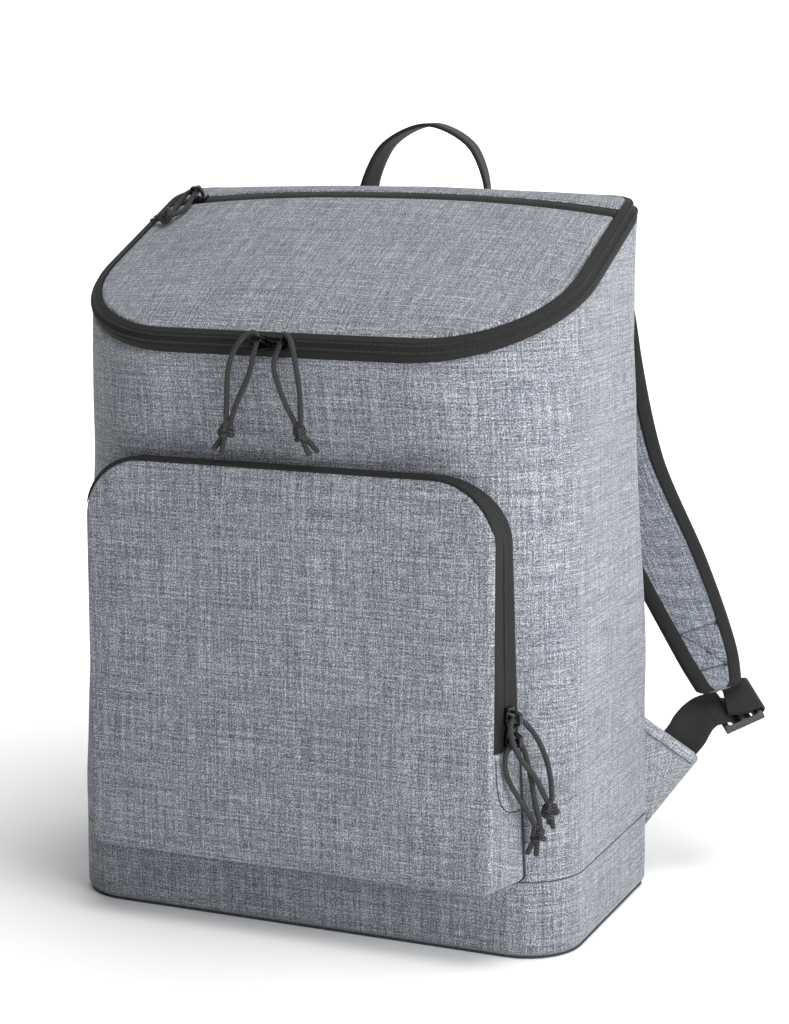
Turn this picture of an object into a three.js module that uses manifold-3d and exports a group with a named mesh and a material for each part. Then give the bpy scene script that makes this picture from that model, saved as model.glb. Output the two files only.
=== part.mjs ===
// Cooler backpack: a boxy padded bag with a sloping zipped lid, a zipped front pocket, two padded
// shoulder straps and a webbing haul loop. Millimetres, +Z up, the front faces -Y and +X is to the
// right seen from the front. The origin is the centre of the base's underside.

import * as THREE from 'three';
import { mergeVertices } from 'three/addons/utils/BufferGeometryUtils.js';
import Module from 'manifold-3d';

const wasm = await Module();
wasm.setup();

// Main body
const BASE_WIDTH = 334;
const TOP_WIDTH = 324;
const BASE_DEPTH = 165;
const FRONT_LEAN = 27;            // how far the front edge under the lid stands out past the base
const FRONT_HEIGHT = 353.5;       // from the floor to the lid's zip, at the front
const LID_CLIMB = 79.5;           // how much higher that zip is at the back
const BASE_FRONT_RADIUS = 37;
const TOP_FRONT_RADIUS = 90;
const BASE_BACK_RADIUS = 6;
const TOP_BACK_RADIUS = 34;
const WALL = 5;                   // padded cloth wall
const BASE_BAND = 48;             // height of the seam round the base
const BASE_FLOOR = 4;
const BASE_EDGE = 4;              // rounding of the base's bottom edge
const GAP = 0.3;                  // clearance between sewn neighbours

// Body sections from the floor to the front edge of the lid. Height is a share of FRONT_HEIGHT. The
// other columns say how far each size has gone from its base value to its top value.
const SECTIONS = [
  { height: 0.00, lean: 0.00, taper: 0.00, frontRound: 0.00, backRound: 0.00 },
  { height: 0.13, lean: 0.05, taper: 0.02, frontRound: 0.03, backRound: 0.00 },
  { height: 0.42, lean: 0.20, taper: 0.20, frontRound: 0.24, backRound: 0.17 },
  { height: 0.82, lean: 0.50, taper: 0.75, frontRound: 0.66, backRound: 0.75 },
  { height: 1.00, lean: 1.00, taper: 1.00, frontRound: 1.00, backRound: 1.00 },
];
const WALL_LEVELS = [0, 0.14, 0.3, 0.46, 0.62, 0.74, 0.83, 0.9, 0.95, 1];

// Lid
const LID_LEVEL_FROM = 0.83;      // share of the depth past which the lid's slope eases to level
const LID_CROWN = 9.5;
const LID_WALL = 4;
const LID_FRONT_RADIUS = 72;
const BAND_RISE = 12;             // how far the zip band climbs from the wall to the lid, at the front
const BAND_RISE_BACK = 8.5;       // the same at the back
const BAND_SIDE_INSET = 10;
const BAND_FRONT_INSET = 6;
// The band's section: across is the share of the way from the wall's edge to the lid's edge, bulge is
// outwards and rise is upwards, both shares of the band's climb.
const BAND_SECTION = [
  { across: 0.0, bulge: 0.00, rise: 0.06 },
  { across: 0.3, bulge: 0.21, rise: 0.38 },
  { across: 0.7, bulge: 0.21, rise: 0.78 },
  { across: 1.0, bulge: 0.00, rise: 1.00 },
  { across: 1.0, bulge: 0.00, rise: 0.50 },
  { across: 0.6, bulge: -0.20, rise: 0.28 },
  { across: 0.0, bulge: -0.40, rise: 0.06 },
];

// Flat pocket in the lid, closed by a zip across the lid
const LID_ZIP_Y = 46;
const LID_ZIP_WIDTH = 9;
const LID_ZIP_THICKNESS = 1.6;
const LID_ZIP_SINK = 0.8;         // how far that tape lies under the lid's surface
const LID_POCKET_SLIDER_IN = 29;   // from the bag's left side to the slider

// Front pocket
const POCKET_WIDTH = 264;
const POCKET_BOTTOM = 46;
const POCKET_TOP = 289;
const POCKET_DEPTH = 27.5;
const POCKET_TOP_RADIUS = 38;
const POCKET_BOTTOM_RADIUS = 7;
const POCKET_PANEL = 3;
const POCKET_GUSSET = 2.4;
const POCKET_FLARE_TOP = 1;       // how much wider the pocket's seam on the body is, each side
const POCKET_FLARE_BOTTOM = 11;
const POCKET_ZIP_END = 131;       // height where the pocket's zip tape stops, both sides

// Zip sliders, all alike
const SLIDER_LENGTH = 12.6;
const SLIDER_WIDTH = 9;
const SLIDER_PLATE = 2.2;
const BRIDGE_HEIGHT = 7.4;
const BRIDGE_LENGTH = 9.4;
const BRIDGE_WIDTH = 3;
const BRIDGE_WALL = 1.4;
const BRIDGE_SHOULDER = 0.55;     // where its arch starts to close, as a share of its height
const BRIDGE_CROWN = 0.6;         // how wide it still is at the top
const SLIDER_GAP = 0.3;           // between a slider and its tape
const LID_SLIDER_MEET_X = -5.2;   // where the lid's two sliders meet
const POCKET_SLIDER_LOW = 138;    // height of the lower slider on the pocket

// Back panel, straps and haul loop
const BACK_PANEL_WIDTH = 250;
const BACK_PANEL_BOTTOM = 20;
const BACK_PANEL_THICKNESS = 7;
const BACK_PANEL_RADIUS = 16;
const STRAP_WIDTH = 54;
const STRAP_THICKNESS = 10;
const STRAP_TOP_X = 84;
const STRAP_TOP_Z = 424;
const STRAP_DROP = 300;           // from the strap's top end down to its lower end
const STRAP_SPREAD = 120.4;       // how far its lower end stands out sideways from its top end
const STRAP_STANDOFF = 66;        // how far the strap arches out behind the back panel
const LOOP_WEBBING = 24;
const LOOP_THICKNESS = 2.2;
const LOOP_SPAN = 84;
const LOOP_HEIGHT = 79;           // from the sewn feet to the top of the loop
const LOOP_FOOT_Z = 404;
const LOOP_LEAN = 27;             // how far the top of the loop stands back from its feet
const WEBBING_WIDTH = 26;
const WEBBING_THICKNESS = 1.8;
const WING_TOP = 110;
const WING_BOTTOM = 32;
const WING_REACH = 30;            // how far the wing's tip stands out past the side of the bag
const WING_TIP_Z = 83;
const WING_TIP_BACK = 13;         // how far the tip lies behind the back wall
const WING_THICKNESS = 2.6;
const WING_SEWN = 20;             // strip of the wing that lies flat on the back wall
const WEBBING_FOOT = [179.3, 93.9, 86.3];   // where the lower webbing comes out over the wing's edge
const WEBBING_REACH = [13.3, 11.9, 20.5];   // from there to where it turns into the ladder lock
const LOCK_WIDTH = 36;
const LOCK_THICKNESS = 4;
const LOCK_BAR = 3.6;
const LOCK_SLOT = 8.1;
const LOCK_RAIL = 3.5;            // side rails of the ladder lock
const LOCK_AT = [220.1, 129.7, 117.6];      // middle of its upper bar
const LOCK_DOWN = [-0.78, -0.49, -0.38];    // from that bar to its lower bar
const LOCK_ACROSS = [-0.62, 0.55, 0.56];    // along the bars

// Zip pull cords
const CORD_DIAMETER = 3.2;
const CORD_SIDES = 8;
const KNOT_RADIUS = 5.4;
const KNOT_LENGTH = 12.5;
const KNOT_GAP = 0.3;             // between a cord's end and its knot

const BACK_Y = BASE_DEPTH / 2;
const FRONT_Y = -BASE_DEPTH / 2;
const TOP_FRONT_Y = FRONT_Y - FRONT_LEAN;
const POCKET_FACE_Y = FRONT_Y - POCKET_DEPTH;
const BAND_END_X = TOP_WIDTH / 2 - TOP_BACK_RADIUS;
const LID_POCKET_SLIDER_X = LID_POCKET_SLIDER_IN - TOP_WIDTH / 2;
const PANEL_BACK_Y = BACK_Y + GAP + BACK_PANEL_THICKNESS;

const CLOTH = { color: 0x8f99a8, roughness: 0.92, metalness: 0 };
const DARK_CLOTH = { color: 0x2b2c2e, roughness: 0.85, metalness: 0 };
const BLACK_CORD = { color: 0x1f2021, roughness: 0.8, metalness: 0 };
const BLACK_METAL = { color: 0x121213, roughness: 0.3, metalness: 0.7 };
const BLACK_PLASTIC = { color: 0x1b1c1d, roughness: 0.45, metalness: 0 };

const bag = new THREE.Group();

function lerp(a, b, t) {
  return a + (b - a) * t;
}

// A smooth value between the rows of a table, straight on past its ends.
function fromTable(table, key, column, at) {
  const last = table.length - 1;
  const t = Math.min(Math.max(at, table[0][key]), table[last][key]);
  let i = 0;
  while (i < last - 1 && t > table[i + 1][key]) i += 1;
  const slope = (a, b) => (table[b][column] - table[a][column]) / (table[b][key] - table[a][key]);
  const tangent = (k) => {
    if (k === 0) return slope(0, 1);
    if (k === last) return slope(last - 1, last);
    const before = slope(k - 1, k);
    const after = slope(k, k + 1);
    return before * after <= 0 ? 0 : (2 * before * after) / (before + after);
  };
  const width = table[i + 1][key] - table[i][key];
  const s = (t - table[i][key]) / width;
  const s2 = s * s;
  const s3 = s2 * s;
  return (2 * s3 - 3 * s2 + 1) * table[i][column] + (s3 - 2 * s2 + s) * width * tangent(i)
    + (3 * s2 - 2 * s3) * table[i + 1][column] + (s3 - s2) * width * tangent(i + 1);
}

// The body's outline at a height: width, front line, and corner radii.
function sectionAt(z) {
  const share = Math.min(z / FRONT_HEIGHT, 1);
  const value = (column) => fromTable(SECTIONS, 'height', column, share);
  return {
    half: lerp(BASE_WIDTH, TOP_WIDTH, value('taper')) / 2,
    front: lerp(FRONT_Y, TOP_FRONT_Y, value('lean')),
    back: BACK_Y,
    frontRadius: lerp(BASE_FRONT_RADIUS, TOP_FRONT_RADIUS, value('frontRound')),
    backRadius: lerp(BASE_BACK_RADIUS, TOP_BACK_RADIUS, value('backRound')),
  };
}

const TOP_SECTION = sectionAt(FRONT_HEIGHT);
const LID_SECTION = {
  half: TOP_WIDTH / 2 - BAND_SIDE_INSET,
  front: TOP_FRONT_Y + BAND_FRONT_INSET,
  back: BACK_Y,
  frontRadius: LID_FRONT_RADIUS,
  backRadius: TOP_BACK_RADIUS - BAND_SIDE_INSET,
};

// Height of the wall's top edge at a depth y: a slope that eases to level near the back.
function edgeHeight(y) {
  const t = Math.min(Math.max((y - TOP_FRONT_Y) / (BACK_Y - TOP_FRONT_Y), 0), 1);
  const past = Math.max(t - LID_LEVEL_FROM, 0);
  const climb = (2 / (1 + LID_LEVEL_FROM)) * (t - (past * past) / (2 * (1 - LID_LEVEL_FROM)));
  return FRONT_HEIGHT + LID_CLIMB * climb;
}

// How far the zip band climbs from the wall to the lid at a depth y.
function bandClimb(y) {
  return lerp(BAND_RISE, BAND_RISE_BACK, (y - TOP_FRONT_Y) / (BACK_Y - TOP_FRONT_Y));
}

// The right half of an outline, from the middle of the front round to the end of the zip band on the
// back. Every outline has the same stations, so they can be joined one to one.
const FRONT_STEPS = 3;
const CORNER_STEPS = 7;
const SIDE_STEPS = 4;
const BACK_STEPS = 4;
function halfOutline(section) {
  const points = [];
  const { half, front, back, frontRadius, backRadius } = section;
  const corner = half - frontRadius;
  const sideStart = front + frontRadius;
  const sideEnd = back - backRadius;
  for (let i = 0; i < FRONT_STEPS; i += 1) {
    points.push({ x: corner * i / FRONT_STEPS, y: front, nx: 0, ny: -1 });
  }
  for (let i = 0; i <= CORNER_STEPS; i += 1) {
    const a = -Math.PI / 2 * (1 - i / CORNER_STEPS);
    const [nx, ny] = [Math.cos(a), Math.sin(a)];
    points.push({ x: corner + frontRadius * nx, y: sideStart + frontRadius * ny, nx, ny });
  }
  for (let i = 1; i < SIDE_STEPS; i += 1) {
    points.push({ x: half, y: lerp(sideStart, sideEnd, i / SIDE_STEPS), nx: 1, ny: 0 });
  }
  for (let i = 0; i <= BACK_STEPS; i += 1) {
    const a = Math.PI / 2 * i / BACK_STEPS;
    const [nx, ny] = [Math.cos(a), Math.sin(a)];
    points.push({ x: half - backRadius + backRadius * nx, y: sideEnd + backRadius * ny, nx, ny });
  }
  return points;
}

// The whole outline but for the back, from the left end of the zip band round the front to the right end.
function bandOutline(section) {
  const right = halfOutline(section);
  const left = right.slice(1).reverse().map((p) => ({ ...p, x: -p.x, nx: -p.nx }));
  return [...left, ...right];
}

// The closed outline: two more stations span the back between the ends of the band.
function fullOutline(section) {
  const span = BAND_END_X - 2 * GAP;
  const across = [span, -span].map((x) => ({ x, y: section.back, nx: 0, ny: 1 }));
  return [...bandOutline(section), ...across];
}

function inset(point, by, z) {
  return new THREE.Vector3(point.x - point.nx * by, point.y - point.ny * by, z);
}

// A closed body from rings of points, each ring joined to the next and both ends capped.
function loft(rings) {
  const count = rings[0].length;
  const points = rings.flat();
  const faces = [];
  for (let r = 0; r + 1 < rings.length; r += 1) {
    for (let i = 0; i < count; i += 1) {
      const j = (i + 1) % count;
      const [a, b] = [r * count + i, r * count + j];
      faces.push([a, b, b + count], [a, b + count, a + count]);
    }
  }
  const cap = (ring, start, reverse) => {
    const middle = ring.reduce((sum, p) => sum.add(p), new THREE.Vector3()).divideScalar(count);
    points.push(middle);
    const m = points.length - 1;
    for (let i = 0; i < count; i += 1) {
      const [a, b] = [start + i, start + (i + 1) % count];
      faces.push(reverse ? [m, b, a] : [m, a, b]);
    }
  };
  cap(rings[0], 0, true);
  cap(rings[rings.length - 1], (rings.length - 1) * count, false);
  return geometryFrom(points, faces);
}

// A cloth wall from two grids of points, its outer and its inner face, closed along all four edges.
function clothWall(outer, inner) {
  const [rows, columns] = [outer.length, outer[0].length];
  const ring = (u) => {
    const around = [];
    for (let v = 0; v < columns; v += 1) around.push(outer[u][v]);
    for (let v = columns - 1; v >= 0; v -= 1) around.push(inner[u][v]);
    return around;
  };
  const count = 2 * columns;
  const points = [];
  for (let u = 0; u < rows; u += 1) points.push(...ring(u));
  const faces = [];
  for (let u = 0; u + 1 < rows; u += 1) {
    for (let i = 0; i < count; i += 1) {
      const j = (i + 1) % count;
      const [a, b] = [u * count + i, u * count + j];
      faces.push([a, b, b + count], [a, b + count, a + count]);
    }
  }
  for (let v = 0; v + 1 < columns; v += 1) {
    const [a, b, c, d] = [v, v + 1, count - 2 - v, count - 1 - v];
    faces.push([a, c, b], [a, d, c]);
    const end = (rows - 1) * count;
    faces.push([end + a, end + b, end + c], [end + a, end + c, end + d]);
  }
  return geometryFrom(points, faces);
}

function geometryFrom(points, faces) {
  const geometry = new THREE.BufferGeometry();
  geometry.setAttribute('position', new THREE.Float32BufferAttribute(points.flatMap((p) => p.toArray()), 3));
  geometry.setIndex(faces.flat());
  return volumeOf(geometry) < 0 ? turnedOut(geometry) : geometry;
}

function volumeOf(geometry) {
  const p = geometry.attributes.position;
  const at = (i) => new THREE.Vector3().fromBufferAttribute(p, i);
  let six = 0;
  for (let i = 0; i < geometry.index.count; i += 3) {
    const [a, b, c] = [0, 1, 2].map((k) => at(geometry.index.getX(i + k)));
    six += a.dot(b.cross(c));
  }
  return six / 6;
}

function turnedOut(geometry) {
  const index = geometry.index;
  for (let i = 0; i < index.count; i += 3) {
    const second = index.getX(i + 1);
    index.setX(i + 1, index.getX(i + 2));
    index.setX(i + 2, second);
  }
  return geometry;
}

function add(name, geometry, finish) {
  const mesh = new THREE.Mesh(geometry, new THREE.MeshStandardMaterial(finish));
  mesh.name = name;
  bag.add(mesh);
  return mesh;
}

// The same piece on the other side of the bag.
function addMirrored(name, geometry, finish) {
  const copy = geometry.index ? geometry.clone() : mergeVertices(geometry.clone());
  copy.scale(-1, 1, 1);
  return add(name, turnedOut(copy), finish);
}

function bare(geometry) {
  const copy = geometry.clone();
  copy.deleteAttribute('normal');
  copy.deleteAttribute('uv');
  return mergeVertices(copy, 1e-4);
}

function solidOf(geometry) {
  const merged = bare(geometry);
  return new wasm.Manifold(new wasm.Mesh({
    numProp: 3,
    vertProperties: new Float32Array(merged.attributes.position.array),
    triVerts: new Uint32Array(merged.index.array),
  }));
}

function geometryOf(solid) {
  const mesh = solid.getMesh();
  const geometry = new THREE.BufferGeometry();
  geometry.setAttribute('position', new THREE.BufferAttribute(new Float32Array(mesh.vertProperties), 3));
  geometry.setIndex(new THREE.BufferAttribute(new Uint32Array(mesh.triVerts), 1));
  return geometry;
}

function joined(...geometries) {
  return geometryOf(geometries.map(solidOf).reduce((sum, solid) => sum.add(solid)));
}

// The base: a tub with a flat floor, a rounded bottom edge and an upright rim.
function baseTub() {
  const ring = (z, by) => fullOutline(sectionAt(z)).map((p) => inset(p, by, z));
  return loft([
    ring(0, BASE_EDGE),
    ring(BASE_EDGE * 0.3, BASE_EDGE * 0.3),
    ring(BASE_EDGE, 0),
    ring(BASE_BAND / 2, 0),
    ring(BASE_BAND, 0),
    ring(BASE_BAND, WALL),
    ring(BASE_BAND / 2, WALL),
    ring(BASE_FLOOR, WALL),
  ]);
}

// The body wall runs all the way round and is open at the top. Under the lid's zip band it stops at
// the band. Between the band's ends, on the back, it goes on up to the lid.
function bodyWall() {
  const bottom = BASE_BAND + GAP;
  const stations = fullOutline(TOP_SECTION).length;
  const bandStations = stations - 2;
  const top = fullOutline(TOP_SECTION).map((p, i) => (
    i < bandStations ? edgeHeight(p.y) : edgeHeight(BACK_Y) + BAND_RISE_BACK - LID_WALL - GAP
  ));
  const level = (share, by) => top.map((height, i) => {
    const z = lerp(bottom, height, share);
    return inset(fullOutline(sectionAt(z))[i], by, z);
  });
  const outer = WALL_LEVELS.map((share) => level(share, 0));
  const inner = WALL_LEVELS.map((share) => level(share, WALL)).reverse();
  const rings = [...outer, ...inner];
  const count = stations;
  const points = rings.flat();
  const faces = [];
  for (let r = 0; r < rings.length; r += 1) {
    const next = (r + 1) % rings.length;
    for (let i = 0; i < count; i += 1) {
      const j = (i + 1) % count;
      const [a, b, c, d] = [r * count + i, r * count + j, next * count + j, next * count + i];
      faces.push([a, b, c], [a, c, d]);
    }
  }
  return geometryFrom(points, faces);
}

// The black band with the lid's zip, from the wall's top edge up and in to the lid's edge.
function lidBand() {
  const outer = bandOutline(TOP_SECTION);
  const edge = bandOutline(LID_SECTION);
  const rings = outer.map((o, i) => BAND_SECTION.map((row) => {
    const [x, y] = [lerp(o.x, edge[i].x, row.across), lerp(o.y, edge[i].y, row.across)];
    const climb = bandClimb(y);
    const out = row.bulge * climb;
    return new THREE.Vector3(x + o.nx * out, y + o.ny * out, edgeHeight(y) + row.rise * climb);
  }));
  return loft(rings);
}

function lidHalfWidth(y, clearance) {
  const { half, front, back, frontRadius, backRadius } = LID_SECTION;
  const intoFront = front + frontRadius - y;
  const intoBack = y - (back - backRadius);
  let width = half;
  if (intoFront > 0) {
    const r = frontRadius - clearance;
    width = half - frontRadius + clearance + Math.sqrt(Math.max(r * r - intoFront * intoFront, 0));
  }
  if (intoBack > 0) {
    const r = backRadius - clearance;
    width = half - backRadius + clearance + Math.sqrt(Math.max(r * r - intoBack * intoBack, 0));
  }
  return width - clearance;
}

function lidHeight(x, y) {
  const u = Math.abs(x) / LID_SECTION.half;
  const v = (y - LID_SECTION.front) / (LID_SECTION.back - LID_SECTION.front);
  const crown = LID_CROWN * Math.max(1 - u ** 2.4, 0) * Math.max(1 - (2 * v - 1) ** 4, 0);
  return edgeHeight(y) + bandClimb(y) + crown;
}

// A strip of the lid between two depths.
function lidStrip(rows, thickness, sink, clearance, columns) {
  const grid = (drop) => rows.map((y) => {
    const width = lidHalfWidth(y, clearance);
    const line = [];
    for (let i = 0; i <= columns; i += 1) {
      const x = width * (2 * i / columns - 1);
      line.push(new THREE.Vector3(x, y, lidHeight(x, y) - sink - drop));
    }
    return line;
  });
  return clothWall(grid(0), grid(thickness));
}

function steps(from, to, count) {
  return Array.from({ length: count + 1 }, (_, i) => lerp(from, to, i / count));
}

const LID_COLUMNS = 14;
function lidPanel() {
  const { front, frontRadius } = LID_SECTION;
  const round = frontRadius - GAP;
  const rows = Array.from({ length: CORNER_STEPS }, (_, i) => (
    front + GAP + round * (1 - Math.cos(Math.PI / 2 * i / CORNER_STEPS))
  ));
  rows.push(...steps(front + frontRadius, LID_ZIP_Y - LID_ZIP_WIDTH / 2 - GAP, 4));
  return lidStrip(rows, LID_WALL, 0, GAP, LID_COLUMNS);
}

function lidRearStrip() {
  const { back, backRadius } = LID_SECTION;
  const roundFrom = back - backRadius;
  const rows = steps(LID_ZIP_Y + LID_ZIP_WIDTH / 2 + GAP, roundFrom, 2).slice(0, -1);
  for (let i = 0; i <= BACK_STEPS; i += 1) {
    rows.push(roundFrom + (backRadius - GAP) * Math.sin(Math.PI / 2 * i / BACK_STEPS));
  }
  return lidStrip(rows, LID_WALL, 0, GAP, LID_COLUMNS);
}

function lidPocketZip() {
  const rows = steps(LID_ZIP_Y - LID_ZIP_WIDTH / 2, LID_ZIP_Y + LID_ZIP_WIDTH / 2, 2);
  return lidStrip(rows, LID_ZIP_THICKNESS, LID_ZIP_SINK, GAP, LID_COLUMNS);
}

// The body's front face at a place, for what is sewn on it. The wall is flat between its levels, so
// the nearer of the curve and that flat is taken.
function bodyFrontY(x, z) {
  const curve = (height) => {
    const { half, front, frontRadius } = sectionAt(height);
    const into = Math.max(Math.abs(x) - (half - frontRadius), 0);
    return front + frontRadius - Math.sqrt(Math.max(frontRadius ** 2 - into ** 2, 0));
  };
  const levels = WALL_LEVELS.map((share) => lerp(BASE_BAND + GAP, FRONT_HEIGHT, share));
  const above = Math.max(levels.findIndex((height) => height > z), 1);
  const [low, high] = [levels[above - 1], levels[above]];
  const flat = lerp(curve(low), curve(high), Math.max((z - low) / (high - low), 0));
  return Math.min(curve(z), flat);
}

// The pocket's outline, from the middle of its bottom edge round the right side to the middle of the
// top: points with their outward direction.
const POCKET_SIDE_STEPS = 5;
const POCKET_CORNER_STEPS = 6;
function pocketOutline() {
  const half = POCKET_WIDTH / 2;
  const points = [{ x: 0, z: POCKET_BOTTOM, nx: 0, nz: -1 }];
  const arc = (cx, cz, radius, from, count) => {
    for (let i = 0; i <= count; i += 1) {
      const a = from + Math.PI / 2 * i / count;
      const [nx, nz] = [Math.cos(a), Math.sin(a)];
      points.push({ x: cx + radius * nx, z: cz + radius * nz, nx, nz });
    }
  };
  const low = POCKET_BOTTOM + POCKET_BOTTOM_RADIUS;
  const high = POCKET_TOP - POCKET_TOP_RADIUS;
  arc(half - POCKET_BOTTOM_RADIUS, low, POCKET_BOTTOM_RADIUS, -Math.PI / 2, 3);
  points.push({ x: half, z: POCKET_ZIP_END - GAP, nx: 1, nz: 0 });
  points.push({ x: half, z: POCKET_ZIP_END, nx: 1, nz: 0 });
  for (const z of steps(POCKET_ZIP_END, high, POCKET_SIDE_STEPS).slice(1, -1)) {
    points.push({ x: half, z, nx: 1, nz: 0 });
  }
  arc(half - POCKET_TOP_RADIUS, high, POCKET_TOP_RADIUS, 0, POCKET_CORNER_STEPS);
  points.push({ x: 0, z: POCKET_TOP, nx: 0, nz: 1 });
  return points;
}

function pocketPanel() {
  const right = pocketOutline();
  const left = right.slice(1, -1).reverse().map((p) => ({ ...p, x: -p.x }));
  const shape = new THREE.Shape([...right, ...left].map((p) => new THREE.Vector2(p.x, p.z)));
  const panel = new THREE.ExtrudeGeometry(shape, { depth: POCKET_PANEL, bevelEnabled: false });
  panel.rotateX(Math.PI / 2);
  panel.translate(0, POCKET_FACE_Y + POCKET_PANEL, 0);
  return panel;
}

// A stretch of the pocket's gusset, from the panel's edge back to its seam on the body.
function pocketGusset(points) {
  const frontY = POCKET_FACE_Y + POCKET_PANEL + GAP;
  const flareAt = (z) => {
    const t = Math.min(Math.max((z - POCKET_BOTTOM) / (POCKET_TOP - POCKET_BOTTOM), 0), 1);
    return lerp(POCKET_FLARE_BOTTOM, POCKET_FLARE_TOP, t);
  };
  const place = (p, depth, by) => {
    const flare = flareAt(p.z) * depth;
    const x = p.x - p.nx * by + p.nx * flare;
    const z = p.z - p.nz * by + Math.max(p.nz, 0) * POCKET_FLARE_TOP * depth;
    const seamY = bodyFrontY(x, z) - GAP;
    return new THREE.Vector3(x, lerp(frontY, seamY, depth), z);
  };
  const face = (by) => points.map((p) => [0, 0.5, 1].map((depth) => place(p, depth, by)));
  return clothWall(face(0), face(POCKET_GUSSET));
}

function isZip(p) {
  return p.z >= POCKET_ZIP_END - 1e-6;
}

function mirroredOutline(points) {
  return points.map((p) => ({ ...p, x: -p.x, nx: -p.nx }));
}

function pocketZipTape() {
  const right = pocketOutline().filter(isZip);
  const left = mirroredOutline(right).reverse().slice(1);
  return pocketGusset([...right, ...left]);
}

function pocketLowerGusset() {
  const right = pocketOutline().filter((p) => !isZip(p));
  const left = mirroredOutline(right).reverse().slice(0, -1);
  return pocketGusset([...left, ...right]);
}

// A zip slider lying on the XY plane, travelling along X: a pointed plate with an arched bridge over
// it. The pull cord goes through the bridge along Y.
function slider() {
  const [l, w] = [SLIDER_LENGTH / 2, SLIDER_WIDTH / 2];
  const plan = new THREE.Shape([
    new THREE.Vector2(-l, -w * 0.55),
    new THREE.Vector2(-l * 0.2, -w),
    new THREE.Vector2(l, -w * 0.75),
    new THREE.Vector2(l, w * 0.75),
    new THREE.Vector2(-l * 0.2, w),
    new THREE.Vector2(-l, w * 0.55),
  ]);
  const plate = new THREE.ExtrudeGeometry(plan, { depth: SLIDER_PLATE, bevelEnabled: false });
  const arch = (half, height, foot) => {
    const [shoulder, top] = [height * BRIDGE_SHOULDER, half * BRIDGE_CROWN];
    const right = [[half, foot], [half, shoulder], [top, height]];
    const points = [...right, ...right.map(([x, z]) => [-x, z]).reverse()];
    return points.map(([x, z]) => new THREE.Vector2(x, z));
  };
  const side = new THREE.Shape(arch(BRIDGE_LENGTH / 2, BRIDGE_HEIGHT, -SLIDER_PLATE / 2));
  const hole = arch(BRIDGE_LENGTH / 2 - BRIDGE_WALL, BRIDGE_HEIGHT - BRIDGE_WALL, 0);
  side.holes.push(new THREE.Path(hole));
  const bridge = new THREE.ExtrudeGeometry(side, { depth: BRIDGE_WIDTH, bevelEnabled: false });
  bridge.rotateX(Math.PI / 2);
  bridge.translate(0, BRIDGE_WIDTH / 2, SLIDER_PLATE);
  return joined(plate, bridge);
}

// Puts a slider on a surface: travel is its way along the tape and normal is out of the tape.
function placedSlider(at, travel, normal) {
  const z = normal.clone().normalize();
  const x = travel.clone().addScaledVector(z, -travel.dot(z)).normalize();
  const y = z.clone().cross(x);
  const frame = new THREE.Matrix4().makeBasis(x, y, z);
  frame.setPosition(at.clone().addScaledVector(z, SLIDER_GAP));
  return slider().applyMatrix4(frame);
}

function bandMiddle(x) {
  const rows = [BAND_SECTION[1], BAND_SECTION[2]];
  const place = ({ across, bulge, rise }) => {
    const y = lerp(TOP_SECTION.front, LID_SECTION.front, across);
    const climb = bandClimb(y);
    return new THREE.Vector3(x, y - bulge * climb, edgeHeight(y) + rise * climb);
  };
  const [low, high] = rows.map(place);
  const up = high.clone().sub(low).normalize();
  return { at: low.add(high).multiplyScalar(0.5), normal: new THREE.Vector3(0, -up.z, up.y) };
}

function addSliders() {
  const along = new THREE.Vector3(1, 0, 0);
  for (const [side, way] of [['left', 1], ['right', -1]]) {
    const { at, normal } = bandMiddle(LID_SLIDER_MEET_X - way * (SLIDER_LENGTH / 2 + GAP / 2));
    add(`lid_slider_${side}`, placedSlider(at, along.clone().multiplyScalar(way), normal), BLACK_METAL);
  }
  const z = lidHeight(LID_POCKET_SLIDER_X, LID_ZIP_Y) - LID_ZIP_SINK;
  const on = new THREE.Vector3(LID_POCKET_SLIDER_X, LID_ZIP_Y, z);
  const reach = SLIDER_WIDTH / 2;
  const riseX = lidHeight(on.x + reach, on.y) - lidHeight(on.x - reach, on.y);
  const riseY = lidHeight(on.x, on.y + reach) - lidHeight(on.x, on.y - reach);
  const normal = new THREE.Vector3(-riseX, -riseY, 2 * reach);
  on.addScaledVector(normal.clone().normalize(), GAP);
  add('lid_pocket_slider', placedSlider(on, along, normal), BLACK_METAL);
  const frontY = POCKET_FACE_Y + POCKET_PANEL + GAP;
  ['lower', 'upper'].forEach((which, i) => {
    const height = POCKET_SLIDER_LOW + i * (SLIDER_LENGTH + GAP);
    const share = (height - POCKET_BOTTOM) / (POCKET_TOP - POCKET_BOTTOM);
    const flare = lerp(POCKET_FLARE_BOTTOM, POCKET_FLARE_TOP, share);
    const seamX = POCKET_WIDTH / 2 + flare;
    const seamY = bodyFrontY(seamX, height) - GAP;
    const at = new THREE.Vector3(POCKET_WIDTH / 2 + flare / 2, (frontY + seamY) / 2, height);
    const out = new THREE.Vector3(seamY - frontY, -flare, 0);
    at.addScaledVector(out.clone().normalize(), GAP);
    add(`pocket_slider_${which}`, placedSlider(at, new THREE.Vector3(0, 0, 1), out), BLACK_METAL);
  });
}

// A ribbon along a route. Each row gives its middle, its width's direction before it is squared to the
// route, its width and its thickness.
function ribbon(rows, section) {
  const middle = rows.map((row) => row.at);
  const rings = rows.map((row, i) => {
    const before = middle[Math.max(i - 1, 0)];
    const after = middle[Math.min(i + 1, rows.length - 1)];
    const along = after.clone().sub(before).normalize();
    const wide = row.wide.clone().addScaledVector(along, -row.wide.dot(along)).normalize();
    const up = along.clone().cross(wide);
    return section.map(([across, high]) => row.at.clone()
      .addScaledVector(wide, across * row.width / 2)
      .addScaledVector(up, high * row.thickness / 2));
  });
  return loft(rings);
}

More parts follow.
